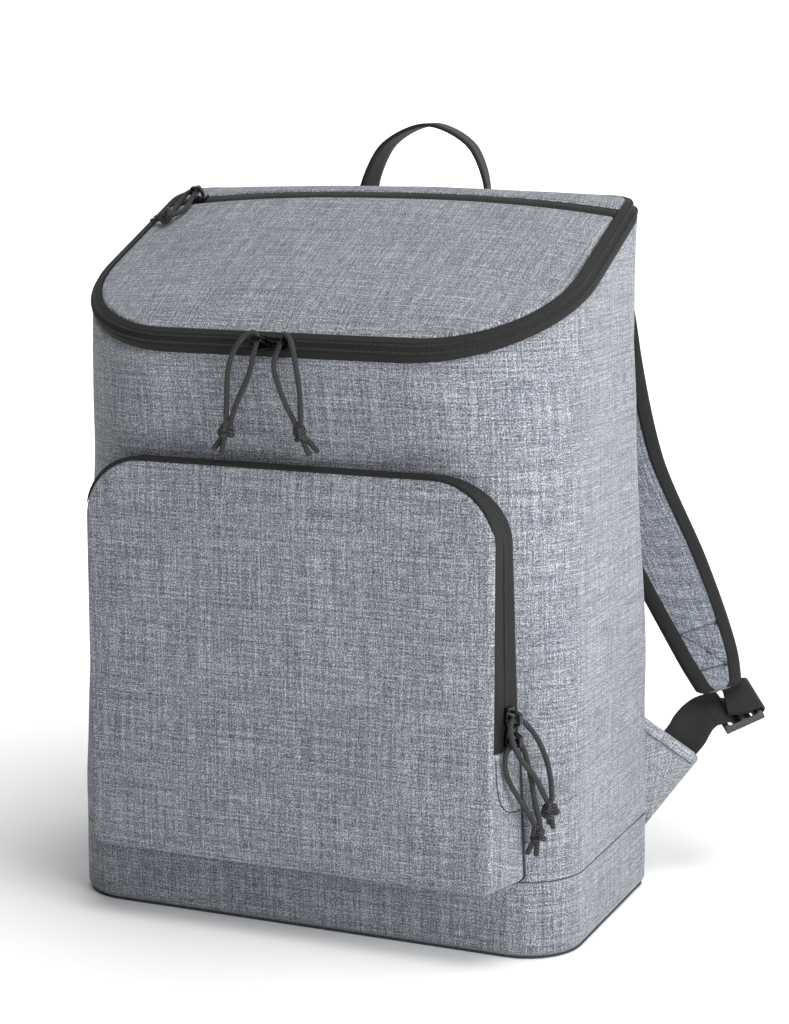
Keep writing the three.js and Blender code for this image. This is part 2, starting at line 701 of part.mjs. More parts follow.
const FLAT_SECTION = [[-1, -1], [1, -1], [1, 1], [-1, 1]];
const PADDED_SECTION = [[-1, -0.4], [-0.82, -0.9], [0, -1], [0.82, -0.9], [1, -0.4],
  [1, 0.4], [0.82, 0.9], [0, 1], [-0.82, 0.9], [-1, 0.4]];

// Smooth rows between the few rows of a route's table.
function routeRows(table, count, make) {
  return steps(0, 1, count).map((t) => make((column) => fromTable(table, 'along', column, t)));
}

// The shoulder strap's route. Along is the share of its run, drop, spread and standoff are shares of
// the named sizes, yaw turns its width from sideways to backwards in degrees, and width is a share.
const STRAP_ROUTE = [
  { along: 0.00, drop: 0.00, spread: 0.00, standoff: 0.00, yaw: 0, width: 0.80 },
  { along: 0.08, drop: 0.07, spread: 0.00, standoff: 0.02, yaw: 0, width: 0.92 },
  { along: 0.22, drop: 0.17, spread: 0.12, standoff: 0.92, yaw: 3, width: 1.00 },
  { along: 0.40, drop: 0.34, spread: 0.185, standoff: 1.00, yaw: 8, width: 1.00 },
  { along: 0.58, drop: 0.55, spread: 0.32, standoff: 0.95, yaw: 16, width: 1.00 },
  { along: 0.76, drop: 0.76, spread: 0.637, standoff: 0.72, yaw: 22, width: 0.92 },
  { along: 0.91, drop: 0.93, spread: 0.902, standoff: 0.44, yaw: 25, width: 0.735 },
  { along: 1.00, drop: 1.00, spread: 1.00, standoff: 0.30, yaw: 26, width: 0.54 },
];
const STRAP_ROWS = 22;
function strapRows() {
  return routeRows(STRAP_ROUTE, STRAP_ROWS, (value) => {
    const yaw = THREE.MathUtils.degToRad(value('yaw'));
    return {
      at: new THREE.Vector3(
        STRAP_TOP_X + STRAP_SPREAD * value('spread'),
        PANEL_BACK_Y + GAP + STRAP_THICKNESS / 2 + STRAP_STANDOFF * value('standoff'),
        STRAP_TOP_Z - STRAP_DROP * value('drop'),
      ),
      wide: new THREE.Vector3(Math.cos(yaw), Math.sin(yaw), 0),
      width: STRAP_WIDTH * value('width'),
      thickness: STRAP_THICKNESS,
    };
  });
}

// The haul loop's route: side and climb are shares of the loop's half span and height, lean of its
// lean, and yaw turns the webbing from flat on the back to edge on, in degrees.
const LOOP_ROUTE = [
  { along: 0.00, side: -0.92, climb: -0.32, lean: 0.00, yaw: 0 },
  { along: 0.12, side: -0.96, climb: 0.00, lean: 0.05, yaw: 0 },
  { along: 0.26, side: -1.00, climb: 0.42, lean: 0.80, yaw: 84 },
  { along: 0.38, side: -0.72, climb: 0.82, lean: 0.96, yaw: 90 },
  { along: 0.50, side: 0.00, climb: 1.00, lean: 1.00, yaw: 96 },
  { along: 0.62, side: 0.72, climb: 0.82, lean: 0.96, yaw: 100 },
  { along: 0.74, side: 1.00, climb: 0.42, lean: 0.80, yaw: 106 },
  { along: 0.88, side: 0.96, climb: 0.00, lean: 0.05, yaw: 180 },
  { along: 1.00, side: 0.92, climb: -0.32, lean: 0.00, yaw: 180 },
];
const LOOP_ROWS = 32;
function haulLoop() {
  const rows = routeRows(LOOP_ROUTE, LOOP_ROWS, (value) => {
    const yaw = THREE.MathUtils.degToRad(value('yaw'));
    return {
      at: new THREE.Vector3(
        LOOP_SPAN / 2 * value('side'),
        PANEL_BACK_Y + GAP + LOOP_THICKNESS / 2 + LOOP_LEAN * value('lean'),
        LOOP_FOOT_Z + LOOP_HEIGHT * value('climb'),
      ),
      wide: new THREE.Vector3(Math.cos(yaw), Math.sin(yaw), 0),
      width: LOOP_WEBBING,
      thickness: LOOP_THICKNESS,
    };
  });
  return ribbon(rows, FLAT_SECTION);
}

function backPanel() {
  const half = BACK_PANEL_WIDTH / 2;
  const top = edgeHeight(BACK_Y) + BAND_RISE_BACK - LID_WALL - GAP;
  const r = BACK_PANEL_RADIUS;
  const shape = new THREE.Shape();
  shape.moveTo(-half + r, BACK_PANEL_BOTTOM);
  shape.absarc(half - r, BACK_PANEL_BOTTOM + r, r, -Math.PI / 2, 0);
  shape.absarc(half - r, top - r, r, 0, Math.PI / 2);
  shape.absarc(-half + r, top - r, r, Math.PI / 2, Math.PI);
  shape.absarc(-half + r, BACK_PANEL_BOTTOM + r, r, Math.PI, Math.PI * 1.5);
  const extrusion = { depth: BACK_PANEL_THICKNESS, bevelEnabled: false, curveSegments: 4 };
  const panel = new THREE.ExtrudeGeometry(shape, extrusion);
  panel.rotateX(Math.PI / 2);
  panel.translate(0, PANEL_BACK_Y, 0);
  return panel;
}

// The grey wing that the lower webbing is sewn to: a flat strip on the back wall, then a triangle
// out to its tip.
const WING_STEPS = 5;
function wing() {
  const seamX = BASE_WIDTH / 2 - BASE_BACK_RADIUS;
  const tip = new THREE.Vector3(BASE_WIDTH / 2 + WING_REACH, BACK_Y + WING_TIP_BACK, WING_TIP_Z);
  const y = BACK_Y + GAP;
  const outline = (t, z) => new THREE.Vector3(seamX, y, z).lerp(tip, t);
  const lines = [[WING_BOTTOM, WING_TOP].map((z) => new THREE.Vector3(seamX - WING_SEWN, y, z))];
  for (const t of steps(0, 0.97, WING_STEPS)) {
    lines.push([outline(t, WING_BOTTOM), outline(t, WING_TOP)]);
  }
  const back = lines.map((line) => line.map((p) => p.clone().add(new THREE.Vector3(0, WING_THICKNESS, 0))));
  return clothWall(lines, back);
}

// The ladder lock's own frame: down runs from its upper bar to its lower one, across along the bars
// and up is square to both. Rows in this frame are in millimetres from the upper bar's middle.
const lockDown = new THREE.Vector3(...LOCK_DOWN).normalize();
const lockAcross = new THREE.Vector3(...LOCK_ACROSS);
lockAcross.addScaledVector(lockDown, -lockAcross.dot(lockDown)).normalize();
const lockUp = lockAcross.clone().cross(lockDown);

// A plate with two slots between three bars.
function ladderLock() {
  const pitch = LOCK_BAR + LOCK_SLOT;
  const [half, first, last] = [LOCK_WIDTH / 2, -LOCK_BAR / 2, 2 * pitch + LOCK_BAR / 2];
  const box = (left, low, right, high) => [[left, low], [right, low], [right, high], [left, high]]
    .map(([x, y]) => new THREE.Vector2(x, y));
  const plan = new THREE.Shape(box(-half, first, half, last));
  for (const bar of [0, pitch]) {
    const from = bar + LOCK_BAR / 2;
    plan.holes.push(new THREE.Path(box(LOCK_RAIL - half, from, half - LOCK_RAIL, from + LOCK_SLOT)));
  }
  const lock = new THREE.ExtrudeGeometry(plan, { depth: LOCK_THICKNESS, bevelEnabled: false });
  lock.translate(0, 0, -LOCK_THICKNESS / 2);
  const frame = new THREE.Matrix4().makeBasis(lockAcross, lockDown, lockUp);
  frame.setPosition(new THREE.Vector3(...LOCK_AT));
  return lock.applyMatrix4(frame);
}

// A ribbon's rows from two tables: one of free places with the width's direction, and one in the
// lock's frame, where side shifts a row along the bars.
function webbingRows(free, inLock) {
  const size = { width: WEBBING_WIDTH, thickness: WEBBING_THICKNESS };
  return [
    ...free.map(({ reach, wide }) => {
      const way = new THREE.Vector3(...WEBBING_REACH).multiply(new THREE.Vector3(...reach));
      return { at: way.add(new THREE.Vector3(...WEBBING_FOOT)), wide: new THREE.Vector3(...wide), ...size };
    }),
    ...inLock.map(({ down, up, side }) => ({
      at: new THREE.Vector3(...LOCK_AT).addScaledVector(lockDown, down).addScaledVector(lockUp, up)
        .addScaledVector(lockAcross, side),
      wide: lockAcross,
      ...size,
    })),
  ];
}

// The lower webbing: up from behind the wing's edge, over the lock's lower bar and in a slack turn
// under its middle bar. Reach gives its free rows as shares of the way from its foot, along X, Y and Z.
const WEBBING_FREE = [
  { reach: [0.00, 0.00, 0.00], wide: [-0.74, -0.30, 0.64] },
  { reach: [0.33, 0.21, 0.26], wide: [-0.74, -0.30, 0.64] },
  { reach: [0.62, 0.34, 0.52], wide: [-0.75, -0.20, 0.64] },
  { reach: [0.80, 0.61, 0.79], wide: [-0.62, 0.30, 0.64] },
  { reach: [1.00, 1.00, 1.00], wide: [-0.60, 0.50, 0.60] },
];
const WEBBING_IN_LOCK = [
  { down: 31.0, up: 5.6, side: 0 }, { down: 26.5, up: 4.7, side: 0 }, { down: 23.4, up: 3.8, side: 0 },
  { down: 20.4, up: 2.9, side: 0 }, { down: 18.5, up: 0.8, side: 0 }, { down: 17.4, up: -2.2, side: 0 },
  { down: 16.6, up: -5.6, side: 0 }, { down: 14.7, up: -8.4, side: 0 }, { down: 11.7, up: -9.6, side: 0 },
  { down: 8.7, up: -8.4, side: 0 }, { down: 7.0, up: -5.6, side: 0 }, { down: 6.6, up: -2.8, side: 0 },
  { down: 6.7, up: -0.8, side: 0 },
];

// The short loop that is sewn behind the strap's end and wraps the lock's upper bar.
const LOOP_IN_LOCK = [
  { down: 16.0, up: 7.4, side: 3 }, { down: 11.0, up: 6.4, side: 1.5 }, { down: 6.0, up: 5.4, side: 0 },
  { down: 2.0, up: 4.6, side: 0 }, { down: -1.4, up: 3.9, side: 0 }, { down: -3.5, up: 2.0, side: 0 },
  { down: -3.9, up: -0.6, side: 0 }, { down: -2.5, up: -2.9, side: 0 }, { down: 0.0, up: -3.6, side: 0 },
  { down: 2.6, up: -3.2, side: 0 }, { down: 3.7, up: -0.6, side: 0 }, { down: 4.0, up: 1.4, side: 0 },
  { down: 6.4, up: 3.3, side: 0 }, { down: 11.0, up: 4.2, side: 1.5 }, { down: 16.0, up: 5.1, side: 3 },
];

// Zip pulls: each is a cord through a slider's bridge, with both ends in a knot. The points are chosen
// by hand, from the bridge to the knot, then the knot's middle and the ends of the two tails.
const PULLS = {
  lid_left: {
    a: [[-12.6, -114.1, 364.1], [-12.7, -112.7, 367.5], [-14.5, -112.8, 369.3], [-17.1, -113.8, 368.6],
      [-20.0, -115.4, 366.6], [-23.0, -116.8, 363.0], [-26.2, -117.6, 357.8], [-29.0, -117.0, 351.8],
      [-31.5, -115.6, 343.4], [-32.6, -114.5, 330.4], [-33.6, -113.8, 318.3]],
    b: [[-12.9, -114.3, 363.6], [-13.1, -115.6, 360.4], [-13.9, -117.0, 356.0], [-14.9, -116.9, 350.8],
      [-18.5, -116.0, 341.3], [-23.8, -115.0, 331.9], [-27.4, -114.2, 324.5], [-29.9, -113.6, 318.0]],
    knot: [-33.4, -113.3, 311.2],
    tails: [[-43.2, -112.6, 298.2], [-37.6, -112.8, 296.0]],
  },
  lid_right: {
    a: [[2.2, -114.1, 364.1], [2.3, -112.7, 367.4], [3.9, -112.8, 369.1], [6.5, -113.9, 368.2],
      [9.0, -115.6, 365.6], [11.0, -117.0, 361.4], [12.4, -117.6, 355.6], [13.4, -117.0, 348.4],
      [14.4, -115.6, 338.3], [14.6, -114.5, 327.3], [14.3, -113.8, 318.4]],
    b: [[2.4, -114.3, 363.6], [1.7, -115.6, 360.4], [-0.1, -117.0, 355.6], [-1.2, -116.9, 349.6],
      [1.2, -116.0, 339.4], [4.6, -115.0, 329.4], [7.4, -114.2, 323.4], [10.0, -113.6, 318.2]],
    knot: [13.6, -113.3, 311.6],
    tails: [[19.6, -112.6, 298.4], [25.2, -112.8, 300.6]],
  },
  lid_pocket: {
    a: [[-133.6, 43.6, 439.7], [-133.9, 40.3, 438.5], [-133.6, 36.6, 436.2], [-133.2, 31.6, 432.6],
      [-133.4, 26.0, 429.3], [-134.6, 20.6, 427.6], [-135.9, 18.6, 427.2]],
    b: [[-133.6, 44.1, 439.9], [-134.2, 47.6, 441.2], [-137.6, 49.4, 441.4], [-141.6, 45.8, 439.4],
      [-142.0, 38.4, 435.2], [-141.4, 30.4, 431.0], [-140.7, 23.6, 428.6], [-139.9, 18.9, 427.4]],
    knot: [-138.2, 12.2, 426.6],
    tails: [[-150.8, 11.6, 422.4], [-149.6, 16.4, 424.6]],
  },
  pocket_upper: {
    a: [[140.8, -97.0, 150.9], [141.9, -93.5, 150.6], [145.6, -89.9, 146.4], [151.0, -88.6, 139.6],
      [155.6, -87.0, 129.3], [158.4, -85.7, 118.5], [159.6, -84.8, 107.8], [159.8, -84.7, 102.9]],
    b: [[140.7, -97.4, 150.9], [139.8, -100.8, 150.4], [140.6, -103.6, 145.4], [142.6, -103.6, 137.2],
      [146.4, -99.4, 127.3], [151.5, -93.4, 117.8], [154.7, -88.7, 108.4], [156.4, -86.5, 102.7]],
    knot: [158.8, -85.2, 96.2],
    tails: [[160.6, -84.4, 84.0], [158.0, -84.4, 86.4]],
  },
  pocket_lower: {
    a: [[141.0, -97.6, 137.9], [140.2, -100.6, 137.0], [138.2, -103.0, 132.6], [137.0, -102.6, 125.6],
      [138.4, -100.6, 115.7], [143.2, -97.2, 105.0], [148.0, -92.6, 94.6], [150.4, -89.8, 88.0]],
    b: [[141.2, -96.6, 137.9], [142.2, -93.5, 137.2], [144.4, -90.8, 131.5], [146.4, -90.4, 124.5],
      [148.6, -90.0, 114.4], [150.2, -89.4, 103.6], [152.0, -88.4, 94.0], [153.6, -87.6, 88.0]],
    knot: [152.4, -87.8, 81.4],
    tails: [[146.3, -90.0, 68.4], [151.6, -88.2, 67.4]],
  },
};
const STEP_DIAMETERS = 2.4;
const KNOT_SIDES = 10;
const KNOT_RINGS = 7;

function cordTube(points) {
  const curve = new THREE.CatmullRomCurve3(points.map((p) => new THREE.Vector3(...p)), false, 'centripetal');
  const circle = steps(0, 1, CORD_SIDES).slice(0, -1).map((t) => new THREE.Vector2(
    Math.cos(2 * Math.PI * t) * CORD_DIAMETER / 2,
    Math.sin(2 * Math.PI * t) * CORD_DIAMETER / 2,
  ));
  const count = Math.max(Math.round(curve.getLength() / (CORD_DIAMETER * STEP_DIAMETERS)), 3);
  return new THREE.ExtrudeGeometry(new THREE.Shape(circle), { steps: count, extrudePath: curve });
}

function pullKnot({ a, b, knot, tails }) {
  const middle = new THREE.Vector3(...knot);
  const above = new THREE.Vector3(...a.at(-1)).add(new THREE.Vector3(...b.at(-1))).multiplyScalar(0.5);
  const axis = middle.clone().sub(above);
  const reach = Math.min(axis.length() - KNOT_GAP, KNOT_LENGTH / 2);
  const ball = new THREE.SphereGeometry(KNOT_RADIUS, KNOT_SIDES, KNOT_RINGS);
  ball.scale(1, reach / KNOT_RADIUS, 1);
  const upright = new THREE.Vector3(0, 1, 0);
  ball.applyQuaternion(new THREE.Quaternion().setFromUnitVectors(upright, axis.normalize()));
  ball.translate(...knot);
  const halfway = (end) => middle.clone().lerp(new THREE.Vector3(...end), 0.5).toArray();
  return joined(ball, ...tails.map((end) => cordTube([knot, halfway(end), end])));
}

add('base_tub', baseTub(), CLOTH);
add('body_wall', bodyWall(), CLOTH);
add('lid_zip_band', lidBand(), DARK_CLOTH);
add('lid_panel', lidPanel(), CLOTH);
add('lid_rear_strip', lidRearStrip(), CLOTH);
add('lid_pocket_zip', lidPocketZip(), DARK_CLOTH);
add('pocket_panel', pocketPanel(), CLOTH);
add('pocket_gusset', pocketLowerGusset(), CLOTH);
add('pocket_zip', pocketZipTape(), DARK_CLOTH);
addSliders();
add('back_panel', backPanel(), CLOTH);
add('haul_loop', haulLoop(), DARK_CLOTH);
const strap = ribbon(strapRows(), PADDED_SECTION);
add('shoulder_strap_right', strap, CLOTH);
addMirrored('shoulder_strap_left', strap, CLOTH);
const wingPiece = wing();
add('strap_wing_right', wingPiece, CLOTH);
addMirrored('strap_wing_left', wingPiece, CLOTH);
const webbing = ribbon(webbingRows(WEBBING_FREE, WEBBING_IN_LOCK), FLAT_SECTION);
add('strap_webbing_right', webbing, DARK_CLOTH);
addMirrored('strap_webbing_left', webbing, DARK_CLOTH);
const lock = ladderLock();
add('ladder_lock_right', lock, BLACK_PLASTIC);
addMirrored('ladder_lock_left', lock, BLACK_PLASTIC);
const loop = ribbon(webbingRows([], LOOP_IN_LOCK), FLAT_SECTION);
add('strap_end_loop_right', loop, DARK_CLOTH);
addMirrored('strap_end_loop_left', loop, DARK_CLOTH);
for (const [name, pull] of Object.entries(PULLS)) {
  add(`${name}_pull_cord_a`, cordTube(pull.a), BLACK_CORD);
  add(`${name}_pull_cord_b`, cordTube(pull.b), BLACK_CORD);
  add(`${name}_pull_knot`, pullKnot(pull), BLACK_CORD);
}

export default bag;
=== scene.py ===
import math

import bmesh
import bpy
import numpy as np
from mathutils import Matrix, Vector, noise


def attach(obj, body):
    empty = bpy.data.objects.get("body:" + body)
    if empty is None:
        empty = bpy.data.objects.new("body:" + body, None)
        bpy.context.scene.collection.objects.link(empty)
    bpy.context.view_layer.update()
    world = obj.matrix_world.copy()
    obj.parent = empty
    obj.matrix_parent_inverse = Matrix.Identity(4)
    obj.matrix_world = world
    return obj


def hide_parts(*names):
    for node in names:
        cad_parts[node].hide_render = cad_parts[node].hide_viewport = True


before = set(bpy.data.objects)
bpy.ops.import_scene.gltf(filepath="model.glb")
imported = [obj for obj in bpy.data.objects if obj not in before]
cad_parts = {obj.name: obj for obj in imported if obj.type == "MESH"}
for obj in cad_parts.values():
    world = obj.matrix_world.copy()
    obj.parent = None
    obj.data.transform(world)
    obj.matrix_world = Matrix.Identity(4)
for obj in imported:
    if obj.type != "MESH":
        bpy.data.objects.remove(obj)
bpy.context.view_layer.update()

scene = bpy.context.scene

# Shapes are worked out in millimetres and stored in metres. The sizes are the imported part's own.
MM = 0.001
TAU = 2 * math.pi
BASE_WIDTH, TOP_WIDTH, BASE_DEPTH = 334, 324, 165
FRONT_LEAN, FRONT_HEIGHT, LID_CLIMB = 27, 353.5, 79.5
BASE_FRONT_RADIUS, TOP_FRONT_RADIUS = 37, 90
BASE_BACK_RADIUS, TOP_BACK_RADIUS = 6, 34
WALL, BASE_BAND, FOOT_ROUND, GAP = 5, 48, 6.5, 0.3
LID_LEVEL_FROM, LID_CROWN, LID_WALL, LID_FRONT_RADIUS = 0.83, 9.5, 4, 72
BAND_RISE, BAND_RISE_BACK, BAND_SIDE_INSET, BAND_FRONT_INSET = 12, 8.5, 10, 6
LID_ZIP_Y, LID_ZIP_WIDTH, LID_ZIP_SINK = 46, 9, 0.8
POCKET_WIDTH, POCKET_BOTTOM, POCKET_TOP, POCKET_DEPTH = 264, 46, 289, 27.5
POCKET_TOP_RADIUS, POCKET_BOTTOM_RADIUS, POCKET_PANEL = 38, 7, 3
POCKET_FLARE_TOP, POCKET_FLARE_BOTTOM, POCKET_ZIP_END = 1, 11, 131
BACK_PANEL_WIDTH, BACK_PANEL_BOTTOM, BACK_PANEL_THICKNESS, BACK_PANEL_RADIUS = 250, 20, 7, 16
STRAP_WIDTH, STRAP_THICKNESS, STRAP_TOP_X, STRAP_TOP_Z = 54, 10, 84, 424
STRAP_DROP, STRAP_SPREAD, STRAP_STANDOFF = 300, 120.4, 66
LOOP_WEBBING, LOOP_THICKNESS, LOOP_SPAN, LOOP_HEIGHT = 24, 2.2, 84, 79
LOOP_FOOT_Z, LOOP_LEAN = 404, 27
WEBBING_WIDTH, WEBBING_THICKNESS = 26, 1.8
WING_TOP, WING_BOTTOM, WING_REACH, WING_TIP_Z = 110, 32, 30, 83
WING_TIP_BACK, WING_THICKNESS, WING_SEWN = 13, 2.6, 20
LOCK_AT = (220.1, 129.7, 117.6)
LOCK_DOWN, LOCK_ACROSS = (-0.78, -0.49, -0.38), (-0.62, 0.55, 0.56)
CORD_DIAMETER, BRAID_STRANDS, BRAID_PITCH = 3.2, 5, 1.7

BACK_Y, FRONT_Y = BASE_DEPTH / 2, -BASE_DEPTH / 2
TOP_FRONT_Y = FRONT_Y - FRONT_LEAN
POCKET_FACE_Y = FRONT_Y - POCKET_DEPTH
PANEL_BACK_Y = BACK_Y + GAP + BACK_PANEL_THICKNESS
LID_HALF, LID_FRONT = TOP_WIDTH / 2 - BAND_SIDE_INSET, TOP_FRONT_Y + BAND_FRONT_INSET
LID_BACK_RADIUS = TOP_BACK_RADIUS - BAND_SIDE_INSET
WING_SEAM_X = BASE_WIDTH / 2 - BASE_BACK_RADIUS
WING_TIP = np.array([BASE_WIDTH / 2 + WING_REACH, BACK_Y + WING_TIP_BACK, WING_TIP_Z])
# The gathers of the body's cloth under the lid's band: how fast they fade and how long they are.
GATHER_FADE, GATHER_LENGTH = 17, 15
# The back pad's cloth simulation: its steps, and how near the wall its points are sewn down, in metres.
PAD_STEPS, PAD_SEWN = 20, 0.0015
# How much a webbing's turning counts beside its place where both are smoothed together.
TURN_WEIGHT = 40

# Columns: height share, then how far lean, taper, front rounding and back rounding have gone.
LEAN, TAPER, FRONT_ROUND, BACK_ROUND = 1, 2, 3, 4
SECTIONS = np.array([
    (0.00, 0.00, 0.00, 0.00, 0.00),
    (0.13, 0.05, 0.02, 0.03, 0.00),
    (0.42, 0.20, 0.20, 0.24, 0.17),
    (0.82, 0.50, 0.75, 0.66, 0.75),
    (1.00, 1.00, 1.00, 1.00, 1.00),
])
# The band's face from the wall's edge to the lid's. Columns: share of its run, across, bulge, rise.
ACROSS, BULGE, RISE = 1, 2, 3
BAND_FACE = np.array([
    (0.00, 0.0, 0.00, 0.06),
    (0.32, 0.3, 0.21, 0.38),
    (0.68, 0.7, 0.21, 0.78),
    (1.00, 1.0, 0.00, 1.00),
])
# The shoulder strap. Columns: along, drop, spread, standoff, yaw in degrees, width share.
DROP, SPREAD, STANDOFF, YAW, WIDTH = 1, 2, 3, 4, 5
STRAP_ROUTE = np.array([
    (0.00, 0.00, 0.000, 0.00, 0, 0.80),
    (0.08, 0.07, 0.000, 0.02, 0, 0.92),
    (0.22, 0.17, 0.120, 0.92, 3, 1.00),
    (0.40, 0.34, 0.185, 1.00, 8, 1.00),
    (0.58, 0.55, 0.320, 0.95, 16, 1.00),
    (0.76, 0.76, 0.637, 0.72, 22, 0.92),
    (0.91, 0.93, 0.902, 0.44, 25, 0.735),
    (1.00, 1.00, 1.000, 0.30, 26, 0.54),
])
# The haul loop. Columns: along, side, climb, lean, yaw in degrees.
SIDE, CLIMB, LOOP_LEANS, LOOP_YAW = 1, 2, 3, 4
LOOP_ROUTE = np.array([
    (0.00, -0.92, -0.32, 0.00, 0),
    (0.12, -0.96, 0.00, 0.05, 0),
    (0.26, -1.00, 0.42, 0.80, 84),
    (0.38, -0.72, 0.82, 0.96, 90),
    (0.50, 0.00, 1.00, 1.00, 96),
    (0.62, 0.72, 0.82, 0.96, 100),
    (0.74, 1.00, 0.42, 0.80, 106),
    (0.88, 0.96, 0.00, 0.05, 180),
    (1.00, 0.92, -0.32, 0.00, 180),
])
# The lower webbing: its middle and its width's direction, then rows in the ladder lock's frame, down
# its bars, up from its face and along its bars.
WEBBING_FREE = (
    ((179.3, 93.9, 86.3), (-0.74, -0.30, 0.64)),
    ((183.7, 96.4, 91.6), (-0.74, -0.30, 0.64)),
    ((187.5, 97.9, 97.0), (-0.75, -0.20, 0.64)),
    ((189.9, 101.2, 102.5), (-0.62, 0.30, 0.64)),
    ((192.6, 105.8, 106.8), (-0.60, 0.50, 0.60)),
)
WEBBING_IN_LOCK = (
    (31.0, 5.6, 0), (26.5, 4.7, 0), (23.4, 3.8, 0), (20.4, 2.9, 0), (18.5, 0.8, 0), (17.4, -2.2, 0),
    (16.6, -5.6, 0), (14.7, -8.4, 0), (11.7, -9.6, 0), (8.7, -8.4, 0), (7.0, -5.6, 0), (6.6, -2.8, 0),
    (6.7, -0.8, 0),
)
LOOP_IN_LOCK = (
    (16.0, 7.4, 3), (11.0, 6.4, 1.5), (6.0, 5.4, 0), (2.0, 4.6, 0), (-1.4, 3.9, 0), (-3.5, 2.0, 0),
    (-3.9, -0.6, 0), (-2.5, -2.9, 0), (0.0, -3.6, 0), (2.6, -3.2, 0), (3.7, -0.6, 0), (4.0, 1.4, 0),
    (6.4, 3.3, 0), (11.0, 4.2, 1.5), (16.0, 5.1, 3),
)
# Zip pulls: the two legs from the slider's bridge to the knot, the knot's middle, the tails' ends.
PULLS = {
    "lid_left": (
        ((-12.6, -114.1, 364.1), (-12.7, -112.7, 367.5), (-14.5, -112.8, 369.3), (-17.1, -113.8, 368.6),
         (-20.0, -115.4, 366.6), (-23.0, -116.8, 363.0), (-26.2, -117.6, 357.8), (-29.0, -117.0, 351.8),
         (-31.5, -115.6, 343.4), (-32.6, -114.5, 330.4), (-33.6, -113.8, 318.3)),
        ((-12.9, -114.3, 363.6), (-13.1, -115.6, 360.4), (-13.9, -117.0, 356.0), (-14.9, -116.9, 350.8),
         (-18.5, -116.0, 341.3), (-23.8, -115.0, 331.9), (-27.4, -114.2, 324.5), (-29.9, -113.6, 318.0)),
        (-33.4, -113.3, 311.2), ((-43.2, -112.6, 298.2), (-37.6, -112.8, 296.0))),
    "lid_right": (
        ((2.2, -114.1, 364.1), (2.3, -112.7, 367.4), (3.9, -112.8, 369.1), (6.5, -113.9, 368.2),
         (9.0, -115.6, 365.6), (11.0, -117.0, 361.4), (12.4, -117.6, 355.6), (13.4, -117.0, 348.4),
         (14.4, -115.6, 338.3), (14.6, -114.5, 327.3), (14.3, -113.8, 318.4)),
        ((2.4, -114.3, 363.6), (1.7, -115.6, 360.4), (-0.1, -117.0, 355.6), (-1.2, -116.9, 349.6),
         (1.2, -116.0, 339.4), (4.6, -115.0, 329.4), (7.4, -114.2, 323.4), (10.0, -113.6, 318.2)),
        (13.6, -113.3, 311.6), ((19.6, -112.6, 298.4), (25.2, -112.8, 300.6))),
    "lid_pocket": (
        ((-133.6, 43.6, 439.7), (-133.9, 40.3, 438.5), (-133.6, 36.6, 436.2), (-133.2, 31.6, 432.6),
         (-133.4, 26.0, 429.3), (-134.6, 20.6, 427.6), (-135.9, 18.6, 427.2)),
        ((-133.6, 44.1, 439.9), (-134.2, 47.6, 441.2), (-137.6, 49.4, 441.4), (-141.6, 45.8, 439.4),
         (-142.0, 38.4, 435.2), (-141.4, 30.4, 431.0), (-140.7, 23.6, 428.6), (-139.9, 18.9, 427.4)),
        (-138.2, 12.2, 426.6), ((-150.8, 11.6, 422.4), (-149.6, 16.4, 424.6))),
    "pocket_upper": (
        ((140.8, -97.0, 150.9), (141.9, -93.5, 150.6), (145.6, -89.9, 146.4), (151.0, -88.6, 139.6),
         (155.6, -87.0, 129.3), (158.4, -85.7, 118.5), (159.6, -84.8, 107.8), (159.8, -84.7, 102.9)),
        ((140.7, -97.4, 150.9), (139.8, -100.8, 150.4), (140.6, -103.6, 145.4), (142.6, -103.6, 137.2),
         (146.4, -99.4, 127.3), (151.5, -93.4, 117.8), (154.7, -88.7, 108.4), (156.4, -86.5, 102.7)),
        (158.8, -85.2, 96.2), ((160.6, -84.4, 84.0), (158.0, -84.4, 86.4))),
    "pocket_lower": (
        ((141.0, -97.6, 137.9), (140.2, -100.6, 137.0), (138.2, -103.0, 132.6), (137.0, -102.6, 125.6),
         (138.4, -100.6, 115.7), (143.2, -97.2, 105.0), (148.0, -92.6, 94.6), (150.4, -89.8, 88.0)),
        ((141.2, -96.6, 137.9), (142.2, -93.5, 137.2), (144.4, -90.8, 131.5), (146.4, -90.4, 124.5),
         (148.6, -90.0, 114.4), (150.2, -89.4, 103.6), (152.0, -88.4, 94.0), (153.6, -87.6, 88.0)),
        (152.4, -87.8, 81.4), ((146.3, -90.0, 68.4), (151.6, -88.2, 67.4))),
}


class Wire:
    """A number on its way through a graph of nodes. Sums and products of wires add Math nodes."""

    def __init__(self, graph, socket):
        self.graph, self.socket = graph, socket

    def math(self, operation, *others):
        return self.graph.make("ShaderNodeMath", {"operation": operation}, dict(enumerate((self, *others))))

    def __add__(self, other):
        return self.math("ADD", other)

    def __sub__(self, other):
        return self.math("SUBTRACT", other)

    def __mul__(self, other):
        return self.math("MULTIPLY", other)

    def __rsub__(self, other):
        return self * -1 + other

    __radd__, __rmul__ = __add__, __mul__

    def wave(self, length):
        return (self * (TAU / length)).math("SINE")


class Graph:
    """A tree of nodes, each made by one call: its type, its settings, then what its sockets take."""

    def __init__(self, tree):
        self.tree = tree

    def make(self, kind, settings=None, inputs=None, output=0):
        node = self.tree.nodes.new(kind)
        for key, value in (settings or {}).items():
            if key == "stops":
                for at, (place, colour) in enumerate(value):
                    stops = node.color_ramp.elements
                    stop = stops[at] if at < len(stops) else stops.new(place)
                    stop.position, stop.color = place, (*colour, 1)
            else:
                setattr(node, key, value)
        for key, value in (inputs or {}).items():
            self.put(node.inputs[key], value)
        return Wire(self, node.outputs[output])

    def put(self, socket, value):
        if isinstance(value, Wire):
            self.tree.links.new(value.socket, socket)
        else:
            socket.default_value = value


